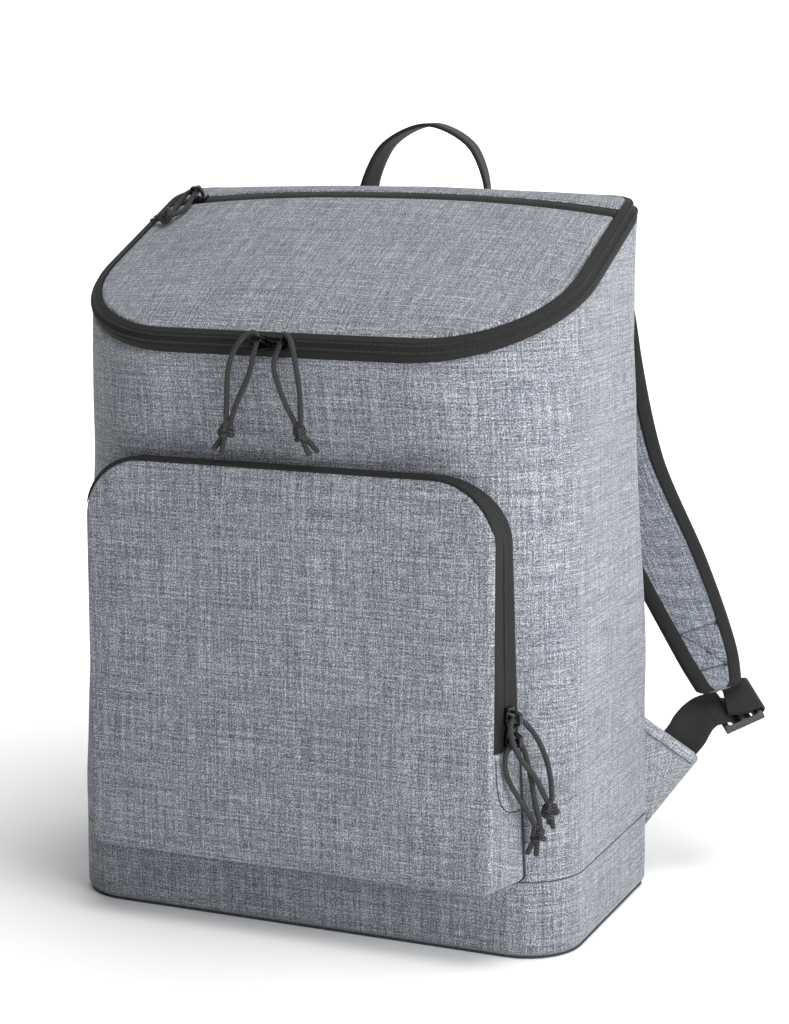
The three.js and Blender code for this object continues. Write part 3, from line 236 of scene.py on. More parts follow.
def linear(*screen):
    """A colour as a screen shows it, 0 to 255, made linear."""
    return tuple(((c / 255 + 0.055) / 1.055) ** 2.4 if c > 10 else c / 255 / 12.92 for c in screen)


class Finish(Graph):
    """A material with its main shader, and the cloth's own coordinates in millimetres."""

    def __init__(self, name, **constants):
        self.material = bpy.data.materials.new(name)
        self.material.use_nodes = True
        super().__init__(self.material.node_tree)
        self.shader = self.tree.nodes["Principled BSDF"]
        for key, value in constants.items():
            self.shader.inputs[key.replace("_", " ")].default_value = value

    def threads(self):
        uv = self.make("ShaderNodeUVMap", {"uv_map": "cloth"})
        return uv, self.split(uv, 0) * 1000, self.split(uv, 1) * 1000

    def split(self, vector, axis):
        return self.make("ShaderNodeSeparateXYZ", inputs={0: vector}, output=axis)

    def grain(self, vector, scale, detail=2.0, roughness=0.5):
        stretched = self.make("ShaderNodeMapping", inputs={"Vector": vector, "Scale": scale})
        return self.make("ShaderNodeTexNoise", inputs={
            "Vector": stretched, "Scale": 1.0, "Detail": detail, "Roughness": roughness})

    def blend(self, factor, a, b):
        """Between two colours. Sockets 6 and 7 take a mix's colours, and output 2 gives its own."""
        colours = {0: factor, 6: (*a, 1), 7: (*b, 1)}
        return self.make("ShaderNodeMix", {"data_type": "RGBA"}, colours, output=2)

    def ramp(self, factor, *stops):
        return self.make("ShaderNodeValToRGB", {"stops": stops}, {0: factor})

    def wear(self, colour=None, roughness=None, height=None, distance=0.0002, strength=1.0):
        for key, value in (("Base Color", colour), ("Roughness", roughness)):
            if value is not None:
                self.put(self.shader.inputs[key], value)
        if height is not None:
            relief = self.make("ShaderNodeBump", inputs={
                "Height": height, "Distance": distance, "Strength": strength})
            self.put(self.shader.inputs["Normal"], relief)
        return self.material


def melange(name, dark, middle, light, yarn=0.62):
    """Plain weave of grey blue yarns whose colour runs lighter and darker along each thread."""
    cloth = Finish(name, Roughness=0.92, Sheen_Weight=0.12, Sheen_Roughness=0.6)
    uv, u, v = cloth.threads()
    weft = cloth.grain(uv, (110, 1400, 1), 3.0, 0.65)
    warp = cloth.grain(uv, (1400, 130, 1), 3.0, 0.65)
    fleck = cloth.grain(uv, (1100, 1100, 1), 1.0)
    slubs = cloth.grain(uv, (16, 620, 1), 1.0) + cloth.grain(uv, (620, 20, 1), 1.0)
    over = u.wave(2 * yarn) * v.wave(2 * yarn)
    on_top = over.math("MULTIPLY_ADD", 0.5, 0.5)
    yarns = weft * on_top + warp * (1 - on_top)
    shade = yarns * 0.42 + fleck * 0.36 + slubs * 0.11
    tint = cloth.ramp(shade, (0.39, dark), (0.50, middle), (0.61, light))
    height = over * 0.6 + weft * 0.7 + warp * 0.7
    return cloth.wear(tint, None, height, 0.00022, 0.55)


def ribbed(name, dark, light, rib, cross, roughness=0.82):
    """Black woven tape: ribs across it, a finer beat along it and a little dust."""
    tape = Finish(name, Sheen_Weight=0.03, Sheen_Roughness=0.5, Specular_IOR_Level=0.3)
    uv, u, v = tape.threads()
    dust = tape.grain(uv, (160, 160, 1), 3.0)
    beat = u.wave(rib) * 0.5 + v.wave(cross) * 0.5
    tint = tape.blend(dust * 0.7 + beat * 0.15, dark, light)
    return tape.wear(tint, dust * 0.2 + (roughness - 0.1), beat + dust * 0.6, 0.00006, 0.5)


def braided(name, dark, light):
    """Round cord: two sets of strands crossing round it, read from its own coordinates."""
    cord = Finish(name, Sheen_Weight=0.04, Sheen_Roughness=0.5, Specular_IOR_Level=0.35)
    uv, around, along = cord.threads()
    turn, pitch = math.pi * CORD_DIAMETER / BRAID_STRANDS, BRAID_PITCH
    one = (around * (TAU / turn) + along * (TAU / pitch)).math("SINE")
    two = (around * (TAU / turn) - along * (TAU / pitch)).math("SINE")
    strand = one.math("MAXIMUM", two)
    tint = cord.ramp(strand * 0.5 + 0.5, (0.72, dark), (1.0, light))
    return cord.wear(tint, strand * -0.12 + 0.72, strand, 0.00025, 0.8)


def solid_finish(name, colour, roughness, metallic, scale, depth, coat):
    """Painted metal or moulded plastic: a faint uneven gloss and a fine grain."""
    finish = Finish(name, Metallic=metallic, Coat_Weight=coat, Coat_Roughness=0.15)
    place = finish.make("ShaderNodeTexCoord", output="Object")
    rubbed = finish.grain(place, (60, 60, 60), 3.0)
    fine = finish.grain(place, (scale,) * 3, 2.0)
    tint = finish.blend(rubbed, colour, tuple(1.9 * c for c in colour))
    return finish.wear(tint, rubbed * 0.25 + (roughness - 0.12), fine, depth, 0.5)


MELANGE = melange("melange_cloth", linear(31, 36, 45), linear(107, 112, 121), linear(186, 188, 191))
BACK_CLOTH = melange("back_padding", linear(28, 33, 42), linear(94, 100, 110), linear(164, 168, 174), 0.8)
WING_CLOTH = melange("wing_cloth", linear(56, 61, 68), linear(128, 133, 139), linear(198, 200, 202))
STRAP_CLOTH = melange("strap_padding", linear(29, 33, 42), linear(94, 99, 109), linear(168, 172, 180))
ZIP_TAPE = ribbed("black_zip_tape", linear(13, 13, 14), linear(33, 33, 34), 0.5, 1.1)
WEBBING = ribbed("black_webbing", linear(12, 12, 13), linear(42, 42, 42), 1.3, 1.9)
BINDING = ribbed("strap_binding", linear(13, 13, 14), linear(38, 38, 39), 0.6, 0.6)
CORD = braided("black_cord", linear(4, 4, 5), linear(64, 65, 66))
TEETH = solid_finish("zip_teeth", linear(26, 26, 27), 0.42, 0.0, 900, 0.00002, 0.1)
# Dark thread for real stitches, also used for the lines of painted shade at the pocket's seam, the base seam
# and under the base.
THREAD_AND_PAINTED_SHADE = solid_finish("thread_and_painted_shade", linear(40, 44, 52), 0.8, 0.0, 3000, 0.00002, 0.0)
SLIDER_METAL = solid_finish("black_slider", linear(10, 10, 11), 0.26, 0.75, 500, 0.00003, 0.5)
PLASTIC = solid_finish("black_plastic", linear(24, 25, 26), 0.46, 0.0, 1400, 0.00004, 0.05)


def lerp(a, b, t):
    return a + (b - a) * t


def from_table(table, column, at):
    """A smooth value between the rows of a table, found by its first column."""
    x, y = table[:, 0], table[:, column]
    slope = np.diff(y) / np.diff(x)
    both = slope[:-1] * slope[1:]
    inner = np.where(both > 0, 2 * both / np.where(both > 0, slope[:-1] + slope[1:], 1), 0)
    tangent = np.concatenate([slope[:1], inner, slope[-1:]])
    at = np.clip(at, x[0], x[-1])
    i = np.clip(np.searchsorted(x, at, side="right") - 1, 0, len(x) - 2)
    width = x[i + 1] - x[i]
    s = (at - x[i]) / width
    return ((2 * s**3 - 3 * s**2 + 1) * y[i] + (s**3 - 2 * s**2 + s) * width * tangent[i]
            + (3 * s**2 - 2 * s**3) * y[i + 1] + (s**3 - s**2) * width * tangent[i + 1])


def section(z):
    """The body's half width, front line and corner radii at heights z."""
    share = np.clip(np.asarray(z, float) / FRONT_HEIGHT, 0, 1)
    return (lerp(BASE_WIDTH, TOP_WIDTH, from_table(SECTIONS, TAPER, share)) / 2,
            lerp(FRONT_Y, TOP_FRONT_Y, from_table(SECTIONS, LEAN, share)),
            lerp(BASE_FRONT_RADIUS, TOP_FRONT_RADIUS, from_table(SECTIONS, FRONT_ROUND, share)),
            lerp(BASE_BACK_RADIUS, TOP_BACK_RADIUS, from_table(SECTIONS, BACK_ROUND, share)))


def edge_height(y):
    t = np.clip((y - TOP_FRONT_Y) / (BACK_Y - TOP_FRONT_Y), 0, 1)
    past = np.maximum(t - LID_LEVEL_FROM, 0)
    climb = (2 / (1 + LID_LEVEL_FROM)) * (t - past**2 / (2 * (1 - LID_LEVEL_FROM)))
    return FRONT_HEIGHT + LID_CLIMB * climb


def back_top():
    """The height where the back wall ends under the lid."""
    return edge_height(BACK_Y) + BAND_RISE_BACK - LID_WALL - GAP


def band_climb(y):
    return lerp(BAND_RISE, BAND_RISE_BACK, (y - TOP_FRONT_Y) / (BACK_Y - TOP_FRONT_Y))


def outline(stations, half, front, back, front_radius, back_radius):
    """Points and outward directions round a section. A station's whole part is the stretch it is on,
    the front, the front corner, the side, the back corner or the back, and the rest its share of it.
    Negative stations are the left side's."""
    stretch, t = np.floor(np.abs(stations)), np.abs(stations) % 1
    where = [stretch == k for k in range(5)]
    corner = np.select(where[:4], [-TAU / 4 + 0 * t, -TAU / 4 * (1 - t), 0 * t, TAU / 4 * t], TAU / 4)
    nx, ny = np.cos(corner), np.sin(corner)
    inner, start, end = half - front_radius, front + front_radius, back - back_radius
    x = np.select(where, [inner * t, inner + front_radius * nx, half + 0 * t,
                          half - back_radius + back_radius * nx, (half - back_radius) * (1 - t)])
    y = np.select(where, [front + 0 * t, start + front_radius * ny, lerp(start, end, t),
                          end + back_radius * ny, back + 0 * t])
    side = np.where(stations < 0, -1, 1)
    return x * side, y, nx * side, ny


def stations_round(counts):
    """Stations from the middle of the front to the end of the last stretch, with that many steps each."""
    return np.concatenate([np.arange(n) / n + k for k, n in enumerate(counts)])


def both_sides(half):
    """Stations of the left side, then those given."""
    return np.concatenate([-half[:0:-1], half])


def all_round(counts):
    """Stations right round a section, from the middle of the back to the middle of the back."""
    return np.concatenate([both_sides(stations_round(counts)), [5 - 1e-6]])


def unit(vectors):
    return vectors / np.maximum(np.linalg.norm(vectors, axis=-1, keepdims=True), 1e-9)


def uneven(points, size, seed):
    """Smooth unevenness from -1 to 1 at each point, with bumps of about that size."""
    flat = np.asarray(points).reshape(-1, 3) / size + seed
    return np.array([noise.noise(p) for p in flat]).reshape(np.asarray(points).shape[:-1])


def link(name, mesh, finish):
    mesh.materials.clear()
    mesh.materials.append(finish)
    mesh.polygons.foreach_set("use_smooth", np.ones(len(mesh.polygons), bool))
    piece = bpy.data.objects.new(name, mesh)
    scene.collection.objects.link(piece)
    return piece


def mesh_of(name, points, faces, uvs):
    """A mesh from points in millimetres, its faces, and the cloth's coordinates at each face corner."""
    mesh = bpy.data.meshes.new(name)
    mesh.from_pydata((np.asarray(points, float) * MM).tolist(), [], faces)
    layer = mesh.uv_layers.new(name="cloth")
    layer.data.foreach_set("uv", (np.asarray(uvs, float) * MM).astype(np.float32).ravel())
    return mesh


def woven(name, grid, finish, u=None, v=None, around=False, outward=None, capped=False):
    """A piece from rows of points. The cloth's coordinates follow the rows and columns unless given.
    Around joins each row's last point to its first, and capped closes the first and the last row."""
    grid = np.asarray(grid, float)
    rows, columns = grid.shape[:2]
    wide = np.concatenate([grid, grid[:, :1]], axis=1) if around else grid
    if u is None:
        steps = np.linalg.norm(np.diff(wide, axis=1), axis=2)
        u = np.concatenate([np.zeros((rows, 1)), np.cumsum(steps, axis=1)], axis=1)
        u -= u[:, -1:] / 2
    if v is None:
        steps = np.linalg.norm(np.diff(wide, axis=0), axis=2)
        v = np.concatenate([np.zeros((1, wide.shape[1])), np.cumsum(steps, axis=0)], axis=0)
    u, v = np.broadcast_to(u, wide.shape[:2]), np.broadcast_to(v, wide.shape[:2])
    faces, uvs = [], []
    for r in range(rows - 1):
        for c in range(wide.shape[1] - 1):
            d = (c + 1) % columns
            faces.append((r * columns + c, r * columns + d, (r + 1) * columns + d, (r + 1) * columns + c))
            uvs += [(u[a, b], v[a, b]) for a, b in ((r, c), (r, c + 1), (r + 1, c + 1), (r + 1, c))]
    if capped:
        for r, order in ((0, range(columns - 1, -1, -1)), (rows - 1, range(columns))):
            faces.append([r * columns + c for c in order])
            uvs += [(u[r, c], v[r, c]) for c in order]
    mesh = mesh_of(name, grid.reshape(-1, 3), faces, uvs)
    if outward is not None:
        normals = np.array([p.normal for p in mesh.polygons])
        centres = np.array([p.center for p in mesh.polygons]) / MM
        out = centres - outward["from"] if "from" in outward else np.array(outward["way"])
        if (normals * out).sum() < 0:
            mesh.flip_normals()
    if capped or around and outward is None:
        face_out(mesh)
    return link(name, mesh, finish)


def face_out(mesh):
    shape = bmesh.new()
    shape.from_mesh(mesh)
    bmesh.ops.recalc_face_normals(shape, faces=shape.faces)
    shape.to_mesh(mesh)
    shape.free()


def settled(piece):
    """Applies a piece's modifiers to its mesh."""
    bpy.context.view_layer.update()
    graph = bpy.context.evaluated_depsgraph_get()
    mesh = bpy.data.meshes.new_from_object(piece.evaluated_get(graph))
    piece.modifiers.clear()
    piece.data = mesh
    return piece


def thick(piece, thickness):
    """Gives cloth its thickness, inwards from the face that shows."""
    wall = piece.modifiers.new("wall", "SOLIDIFY")
    wall.thickness, wall.offset, wall.use_even_offset = thickness * MM, -1, False
    return settled(piece)


def dress(piece, slot, *nodes):
    """Attaches a finished piece to the root and hides the parts it stands for. The slot is not used."""
    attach(piece, "root")
    if nodes:
        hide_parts(*nodes)
    return piece


def mirrored(piece, name):
    """The same piece on the left side of the bag."""
    mesh = piece.data.copy()
    mesh.transform(Matrix.Scale(-1, 4, (1, 0, 0)))
    mesh.flip_normals()
    copy = bpy.data.objects.new(name, mesh)
    scene.collection.objects.link(copy)
    return copy


def smooth_path(points, step):
    """A smooth line through points, with about that step between its own."""
    points = np.asarray(points, float)
    ends = np.concatenate([[2 * points[0] - points[1]], points, [2 * points[-1] - points[-2]]])
    line = []
    for i in range(1, len(ends) - 2):
        p = ends[i - 1:i + 3]
        gaps = np.maximum(np.linalg.norm(np.diff(p, axis=0), axis=1), 1e-6) ** 0.5
        k = np.concatenate([[0], np.cumsum(gaps)])
        count = max(int(np.linalg.norm(p[2] - p[1]) / step), 1)
        for t in np.linspace(k[1], k[2], count, endpoint=False):
            a = [lerp(p[j], p[j + 1], (t - k[j]) / (k[j + 1] - k[j])) for j in range(3)]
            b = [lerp(a[j], a[j + 1], (t - k[j]) / (k[j + 2] - k[j])) for j in range(2)]
            line.append(lerp(b[0], b[1], (t - k[1]) / (k[2] - k[1])))
    return np.array([*line, points[-1]])


def eased(path, rounds=90):
    """A line whose tightest bends have opened a little. Its ends stay."""
    for _ in range(rounds):
        path = np.concatenate([path[:1], lerp(path[1:-1], (path[:-2] + path[2:]) / 2, 0.5), path[-1:]])
    return path


def frames_along(path):
    """The direction of a path at each point, and a direction square to it that never twists."""
    along = unit(np.gradient(path, axis=0))
    side = np.cross(along[0], (0, 0, 1.0) if abs(along[0][2]) < 0.9 else (1.0, 0, 0))
    sides = []
    for way in along:
        side = side - way * side.dot(way)
        side = side / np.linalg.norm(side)
        sides.append(side)
    return along, np.array(sides)


def length_of(path):
    return np.linalg.norm(np.diff(path, axis=0), axis=1).sum()


def run_along(path):
    """How far along its path each point is."""
    return np.concatenate([[0], np.cumsum(np.linalg.norm(np.diff(path, axis=0), axis=1))])


def cord_grid(path, radius=CORD_DIAMETER / 2, sides=20, braid=0.09):
    """Rings round a cord's line, with the braid's strands standing a little proud and round ends."""
    along, side = frames_along(path)
    up = np.cross(along, side)
    angle = np.arange(sides) / sides * TAU
    run = run_along(path)
    twist = run[:, None] * TAU / BRAID_PITCH
    beat = np.maximum(np.sin(BRAID_STRANDS * angle + twist), np.sin(BRAID_STRANDS * angle - twist))
    close = np.clip(np.minimum(run, run[-1] - run) / (radius * 0.6), 0, 1)
    reach = (radius - braid * 0.7 + braid * beat) * (0.25 + 0.75 * np.sqrt(1 - (1 - close[:, None]) ** 2))
    ring = side[:, None] * np.cos(angle)[None, :, None] + up[:, None] * np.sin(angle)[None, :, None]
    return path[:, None] + ring * reach[..., None], run


def cord_piece(name, path):
    grid, run = cord_grid(path)
    around = np.linspace(0, math.pi * CORD_DIAMETER, grid.shape[1] + 1)
    return woven(name, grid, CORD, u=around[None], v=run[:, None], around=True, capped=True)


def joined(name, pieces):
    """One piece from several, in their own places."""
    shape = bmesh.new()
    for piece in pieces:
        shape.from_mesh(piece.data)
    mesh = bpy.data.meshes.new(name)
    shape.to_mesh(mesh)
    shape.free()
    finish = pieces[0].data.materials[0]
    for piece in pieces:
        bpy.data.objects.remove(piece)
    return link(name, mesh, finish)


def knot_piece(name, middle, axis, tails, turn):
    """An overhand knot in the doubled cord: a three-lobed turn pulled tight, and two cut tails."""
    t = np.linspace(0, TAU, 90, endpoint=False)
    lobes = np.stack([np.sin(t) + 2 * np.sin(2 * t), np.cos(t) - 2 * np.cos(2 * t), -1.5 * np.sin(3 * t)], 1)
    way = unit(np.asarray(axis, float))
    side = unit(np.cross(way, (0.3, -1.0, 0.1)))
    basis = np.stack([side * math.cos(turn) + np.cross(way, side) * math.sin(turn), way,
                      np.cross(side, way) * math.cos(turn) + side * math.sin(turn)])
    parts = []
    for k, grow in enumerate((1.42, 1.06)):
        path = np.asarray(middle) + (lobes * (grow, 0.8 * grow, grow)) @ basis + way * (1.4 - 2.8 * k)
        parts.append(cord_piece(f"{name}_turn_{k}", np.concatenate([path, path[:1]])))
    for k, end in enumerate(tails):
        bow = np.cross(np.asarray(end) - middle, (0, 0, 1.0)) * (0.1 - 0.2 * k)
        path = smooth_path([middle, lerp(np.asarray(middle), np.asarray(end), 0.55) + bow, end], 0.6)
        parts.append(cord_piece(f"{name}_tail_{k}", path))
    return joined(name, parts)


# Camera, at the photograph's place and with its lens.
camera = bpy.data.objects.new("camera", bpy.data.cameras.new("camera"))
scene.collection.objects.link(camera)
scene.camera = camera
camera.location = (0.5944, -1.3397, 0.5102)
camera.rotation_mode = "QUATERNION"
camera.rotation_quaternion = (Vector((0.02783, -0.0075, 0.24872)) - camera.location).to_track_quat("-Z", "Y")
camera.data.lens, camera.data.sensor_width = 83.63, 36
camera.data.clip_start, camera.data.clip_end = 0.05, 30

# Zip pulls come first: two legs of cord and a knot on each slider.
for at, (pull, (leg_a, leg_b, knot, tails)) in enumerate(PULLS.items()):
    above = (np.array(leg_a[-1]) + leg_b[-1]) / 2
    tied = knot_piece(f"{pull}_knot", knot, np.array(knot) - above, tails, 0.9 * at)
    dress(tied, "black_cord", f"{pull}_pull_knot")
    for which, leg in (("a", leg_a), ("b", leg_b)):
        into_knot = lerp(np.array(leg[-1]), np.array(knot), 0.35)
        route = eased(smooth_path([*leg, into_knot], 0.4))
        cord = cord_piece(f"{pull}_cord_{which}", route)
        dress(cord, "black_cord", f"{pull}_pull_cord_{which}")
        [c * MM for c in leg[0]]


def body_cloth():
    """The wall all round, its top edge under the lid's band and its bottom edge turned into a seam."""
    stations = all_round((24, 30, 24, 9, 28))
    _, top_y, _, _ = outline(stations, *top_section())
    on_back = np.abs(stations) >= 4
    top = np.where(on_back, back_top(), edge_height(top_y) + 0.6)
    share = np.concatenate([np.linspace(0, 0.02, 5)[:-1], np.linspace(0.02, 1, 66)])[:, None]
    z = lerp(BASE_BAND - 0.4, top[None], share)
    width, front, front_radius, back_radius = section(z)
    x, y, nx, ny = outline(stations[None] + 0 * z, width, front, BACK_Y + 0 * z, front_radius, back_radius)
    points, out = np.stack([x, y, z], 2), np.stack([nx, ny, 0 * nx], 2)
    under = top[None] - z
    free = np.clip(np.minimum(under / 22, (z - BASE_BAND) / 14), 0, 1) * np.where(on_back, 0.3, 1)
    run = np.cumsum(np.linalg.norm(np.diff(points, axis=1, prepend=points[:, :1]), axis=2), axis=1)
    waves = np.sin(run * TAU / GATHER_LENGTH + 5 * uneven(points, 60, 7.3))
    gathers = np.exp(-under / GATHER_FADE) * waves * np.clip(under / 4, 0, 1)
    sag = 1.5 * uneven(points, 88, 1.7) + 0.55 * uneven(points, 34, 4.1)
    tuck = 0.25 - 0.8 * np.clip((z - BASE_BAND) / 2, 0, 0.3)
    points = points + out * (sag * free + 0.32 * gathers * np.where(on_back, 0, 1) - tuck)[..., None]
    front_middle = np.flatnonzero(stations == 0)
    run -= run[:, front_middle]
    around = np.concatenate([run, 2 * run[:, -1:] - run[:, -2:-1] + 0 * run[:, :1]], axis=1)
    piece = woven("body_cloth", points, MELANGE, u=around, v=np.concatenate([z, z[:, :1]], 1), around=True,
                  outward={"from": (0, 0, 200)})
    return thick(piece, WALL - 1)


def top_section():
    return (TOP_WIDTH / 2, TOP_FRONT_Y, BACK_Y, TOP_FRONT_RADIUS, TOP_BACK_RADIUS)


def seam_tuck(distance, radius=0.7):
    """How far cloth turns in close to a seam."""
    near = np.clip(radius - distance, 0, radius)
    return radius - np.sqrt(radius**2 - near**2)


def base_cloth():
    """The tub: a band of cloth round the foot, a rounded bottom edge and a floor."""
    stations = all_round((24, 26, 24, 8, 28))
    turns = np.linspace(0, TAU / 4, 9)
    levels = [(BASE_BAND - d, 0.0) for d in (0, 0.3, 0.8, 1.5, 2.4, 5, 10, 16, 23, 30, 37)]
    levels += [(FOOT_ROUND * (1 - math.sin(a)), FOOT_ROUND * (1 - math.cos(a))) for a in turns]
    levels += [(0.0, FOOT_ROUND + d) for d in (6, 20, 40, 60)]
    across = np.concatenate([[0], np.cumsum(np.abs(np.diff(levels, axis=0)).sum(axis=1))])
    rows = []
    for z, inset in levels:
        width, front, front_radius, back_radius = section(z)
        x, y, nx, ny = outline(stations, width - inset, front + inset, BACK_Y - inset,
                               max(front_radius - inset, 2), max(back_radius - inset, 1))
        row = np.stack([x, y, z + 0 * x], 1)
        free = np.clip(min((BASE_BAND - z) / 10, z / 8), 0, 1)
        push = 0.9 * uneven(row, 60, 2.9) * free - seam_tuck(BASE_BAND - z)
        rows.append(row + np.stack([nx, ny, 0 * nx], 1) * push[:, None])
    piece = woven("base_cloth", rows, MELANGE, v=-across[:, None], around=True,
                  outward={"from": (0, 0, 24)})
    shape = bmesh.new()
    shape.from_mesh(piece.data)
    rim = [e for e in shape.edges if e.is_boundary and e.verts[0].co.z < 0.01]
    bmesh.ops.holes_fill(shape, edges=rim)
    shape.to_mesh(piece.data)
    shape.free()
    return thick(piece, WALL - 1)


def lid_half_width(y):
    into_front = np.clip(LID_FRONT + LID_FRONT_RADIUS - y, 0, None)
    into_back = np.clip(y - (BACK_Y - LID_BACK_RADIUS), 0, None)
    width = LID_HALF + 0 * y
    for into, radius in ((into_front, LID_FRONT_RADIUS), (into_back, LID_BACK_RADIUS)):
        r = radius - GAP
        curved = LID_HALF - radius + GAP + np.sqrt(np.clip(r**2 - into**2, 0, None))
        width = np.where(into > 0, curved, width)
    return width - GAP


def lid_height(x, y):
    u = np.abs(x) / LID_HALF
    v = (y - LID_FRONT) / (BACK_Y - LID_FRONT)
    crown = LID_CROWN * np.clip(1 - u**2.4, 0, None) * np.clip(1 - (2 * v - 1)**4, 0, None)
    return edge_height(y) + band_climb(y) + crown


def lid_sheet(name, rows, finish, thickness, sink=0, curl_front=False, curl_back=False, ruffle=0):
    """A stretch of the lid between two depths. Its outer edge, and its front and back where asked, turn
    down into their seams."""
    rows = np.asarray(rows, float)
    share = np.sin(np.linspace(-1, 1, 81) * TAU / 4) * 0.6 + np.linspace(-1, 1, 81) * 0.4
    width = lid_half_width(rows)
    x = width[:, None] * share[None]
    y = rows[:, None] + 0 * x
    z = lid_height(x, y) - sink
    points = np.stack([x, y, z], 2)
    to_side = width[:, None] - np.abs(x)
    to_front, to_back = y - rows[0], rows[-1] - y
    seam = np.minimum(to_side, np.minimum(to_front if curl_front else 99, to_back if curl_back else 99))
    loose = np.clip(seam / 24, 0, 1)
    z = z + ruffle * loose * (1.5 * uneven(points, 70, 3.3) + 0.5 * uneven(points, 26, 8.8))
    z = z - ruffle * 0.8 * seam_tuck(seam, 2.6)
    piece = woven(name, np.stack([x, y, z], 2), finish, u=x, v=y * 1.06, outward={"way": (0, 0, 1)})
    return thick(piece, thickness)


def lid_rows():
    round_front = LID_FRONT + GAP + (LID_FRONT_RADIUS - GAP) * (1 - np.cos(np.linspace(0, TAU / 4, 28)[:-1]))
    last = LID_ZIP_Y - LID_ZIP_WIDTH / 2 - GAP
    straight = np.linspace(LID_FRONT + LID_FRONT_RADIUS, last - 3, 20)
    return np.concatenate([round_front, straight, last - np.array([2, 1.2, 0.6, 0.2, 0])])


def rear_rows():
    first, turn = LID_ZIP_Y + LID_ZIP_WIDTH / 2 + GAP, BACK_Y - LID_BACK_RADIUS
    rounded = turn + (LID_BACK_RADIUS - GAP) * np.sin(np.linspace(0, TAU / 4, 16))
    curl = first + np.array([0, 0.3, 0.8, 1.5, 2.5])
    return np.concatenate([curl, np.linspace(first + 4, turn, 3)[:-1], rounded])


def band_stations():
    return both_sides(np.concatenate([stations_round((26, 40, 26, 16)), [4 - 1e-6]]))


def band_point(stations, run):
    """A place on the lid band's face: run goes from 0 at the wall's edge to 1 at the lid's."""
    x, y, nx, ny = outline(stations, *top_section())
    lx, ly, _, _ = outline(stations, LID_HALF, LID_FRONT, BACK_Y, LID_FRONT_RADIUS, LID_BACK_RADIUS)
    across, bulge, rise = (from_table(BAND_FACE, column, run) for column in (ACROSS, BULGE, RISE))
    px, py = lerp(x, lx, across), lerp(y, ly, across)
    climb = band_climb(py)
    return np.stack([px + nx * bulge * climb, py + ny * bulge * climb, edge_height(py) + rise * climb], -1)


def lid_band():
    """The black tape of the lid's zip: two strips that meet at the teeth, a little lower there."""
    stations, run = band_stations(), np.linspace(0, 1, 23)[:, None]
    points = band_point(stations[None] + 0 * run, run + 0 * stations[None])
    out = unit(np.cross(np.gradient(points, axis=1), np.gradient(points, axis=0)))
    groove = 0.3 * np.exp(-((run - 0.5) / 0.13) ** 2)
    lips = 0.2 * np.exp(-((np.abs(run - 0.5) - 0.24) / 0.05) ** 2)
    push = (groove - lips) + 0.35 * uneven(points, 40, 5.5) * np.sin(run * math.pi)
    piece = woven("lid_band", points - out * push[..., None], ZIP_TAPE, outward={"from": (0, 0, 330)})
    return thick(piece, 1.6)


def band_middle(lift):
    """The line of the lid zip's teeth, that far off the tape, and the way out of the tape along it."""
    stations = band_stations()
    at, above, below = (band_point(stations, run + 0 * stations) for run in (0.5, 0.6, 0.4))
    out = unit(np.cross(np.gradient(at, axis=0), above - below))
    centre = at.mean(0) + (0, 40, -60)
    out = out * np.sign(((at - centre) * out).sum(1))[:, None]
    return at + out * lift, out


def tooth_rows():
    """The tree that sets two rows of small rounded bodies along a guide: zip teeth or stitches."""
    tree = bpy.data.node_groups.new("rows_along_a_seam", "GeometryNodeTree")
    graph = Graph(tree)
    for name in ("Guide", "Pitch", "Length", "Thickness", "Height", "Apart", "Finish"):
        kind = {"Guide": "Geometry", "Finish": "Material"}.get(name, "Float")
        tree.interface.new_socket(name, in_out="INPUT", socket_type=f"NodeSocket{kind}")
    tree.interface.new_socket("Rows", in_out="OUTPUT", socket_type="NodeSocketGeometry")
    asked = tree.nodes.new("NodeGroupInput").outputs
    size = {name: Wire(graph, asked[name]) for name in ("Pitch", "Length", "Thickness", "Height", "Apart")}
    curve = graph.make("GeometryNodeMeshToCurve", inputs={"Mesh": Wire(graph, asked["Guide"])})
    spaced = graph.make("GeometryNodeResampleCurve", {"mode": "LENGTH"},
                        {"Curve": curve, "Length": size["Pitch"]})
    along = graph.make("GeometryNodeInputTangent")
    out = graph.make("GeometryNodeInputNamedAttribute", {"data_type": "FLOAT_VECTOR"}, {"Name": "outward"})
    across = graph.make("ShaderNodeVectorMath", {"operation": "CROSS_PRODUCT"}, {0: out, 1: along})
    turned = graph.make("FunctionNodeAxesToRotation", {"primary_axis": "X", "secondary_axis": "Z"},
                        {"Primary Axis": along, "Secondary Axis": out})
    body = graph.make("GeometryNodeMeshUVSphere", inputs={"Segments": 6, "Rings": 4, "Radius": 0.5})
    scale = graph.make("ShaderNodeCombineXYZ", inputs={
        0: size["Thickness"], 1: size["Length"], 2: size["Height"]})
    rows = tree.nodes.new("GeometryNodeJoinGeometry")
    for side in (-1, 1):
        sideways = graph.make("ShaderNodeVectorMath", {"operation": "SCALE"},
                              {0: across, "Scale": size["Apart"] * (side / 2)})
        shift = graph.make("ShaderNodeVectorMath", {"operation": "SCALE"},
                           {0: along, "Scale": size["Pitch"] * (side / 4)})
        offset = graph.make("ShaderNodeVectorMath", {"operation": "ADD"}, {0: sideways, 1: shift})
        moved = graph.make("GeometryNodeSetPosition", inputs={"Geometry": spaced, "Offset": offset})
        set_out = graph.make("GeometryNodeInstanceOnPoints", inputs={
            "Points": moved, "Instance": body, "Rotation": turned, "Scale": scale})
        tree.links.new(set_out.socket, rows.inputs[0])
    real = graph.make("GeometryNodeRealizeInstances", inputs={"Geometry": Wire(graph, rows.outputs[0])})
    finished = graph.make("GeometryNodeSetMaterial", inputs={
        "Geometry": real, "Material": Wire(graph, asked["Finish"])})
    tree.links.new(finished.socket, tree.nodes.new("NodeGroupOutput").inputs[0])
    return tree


ROWS = tooth_rows()


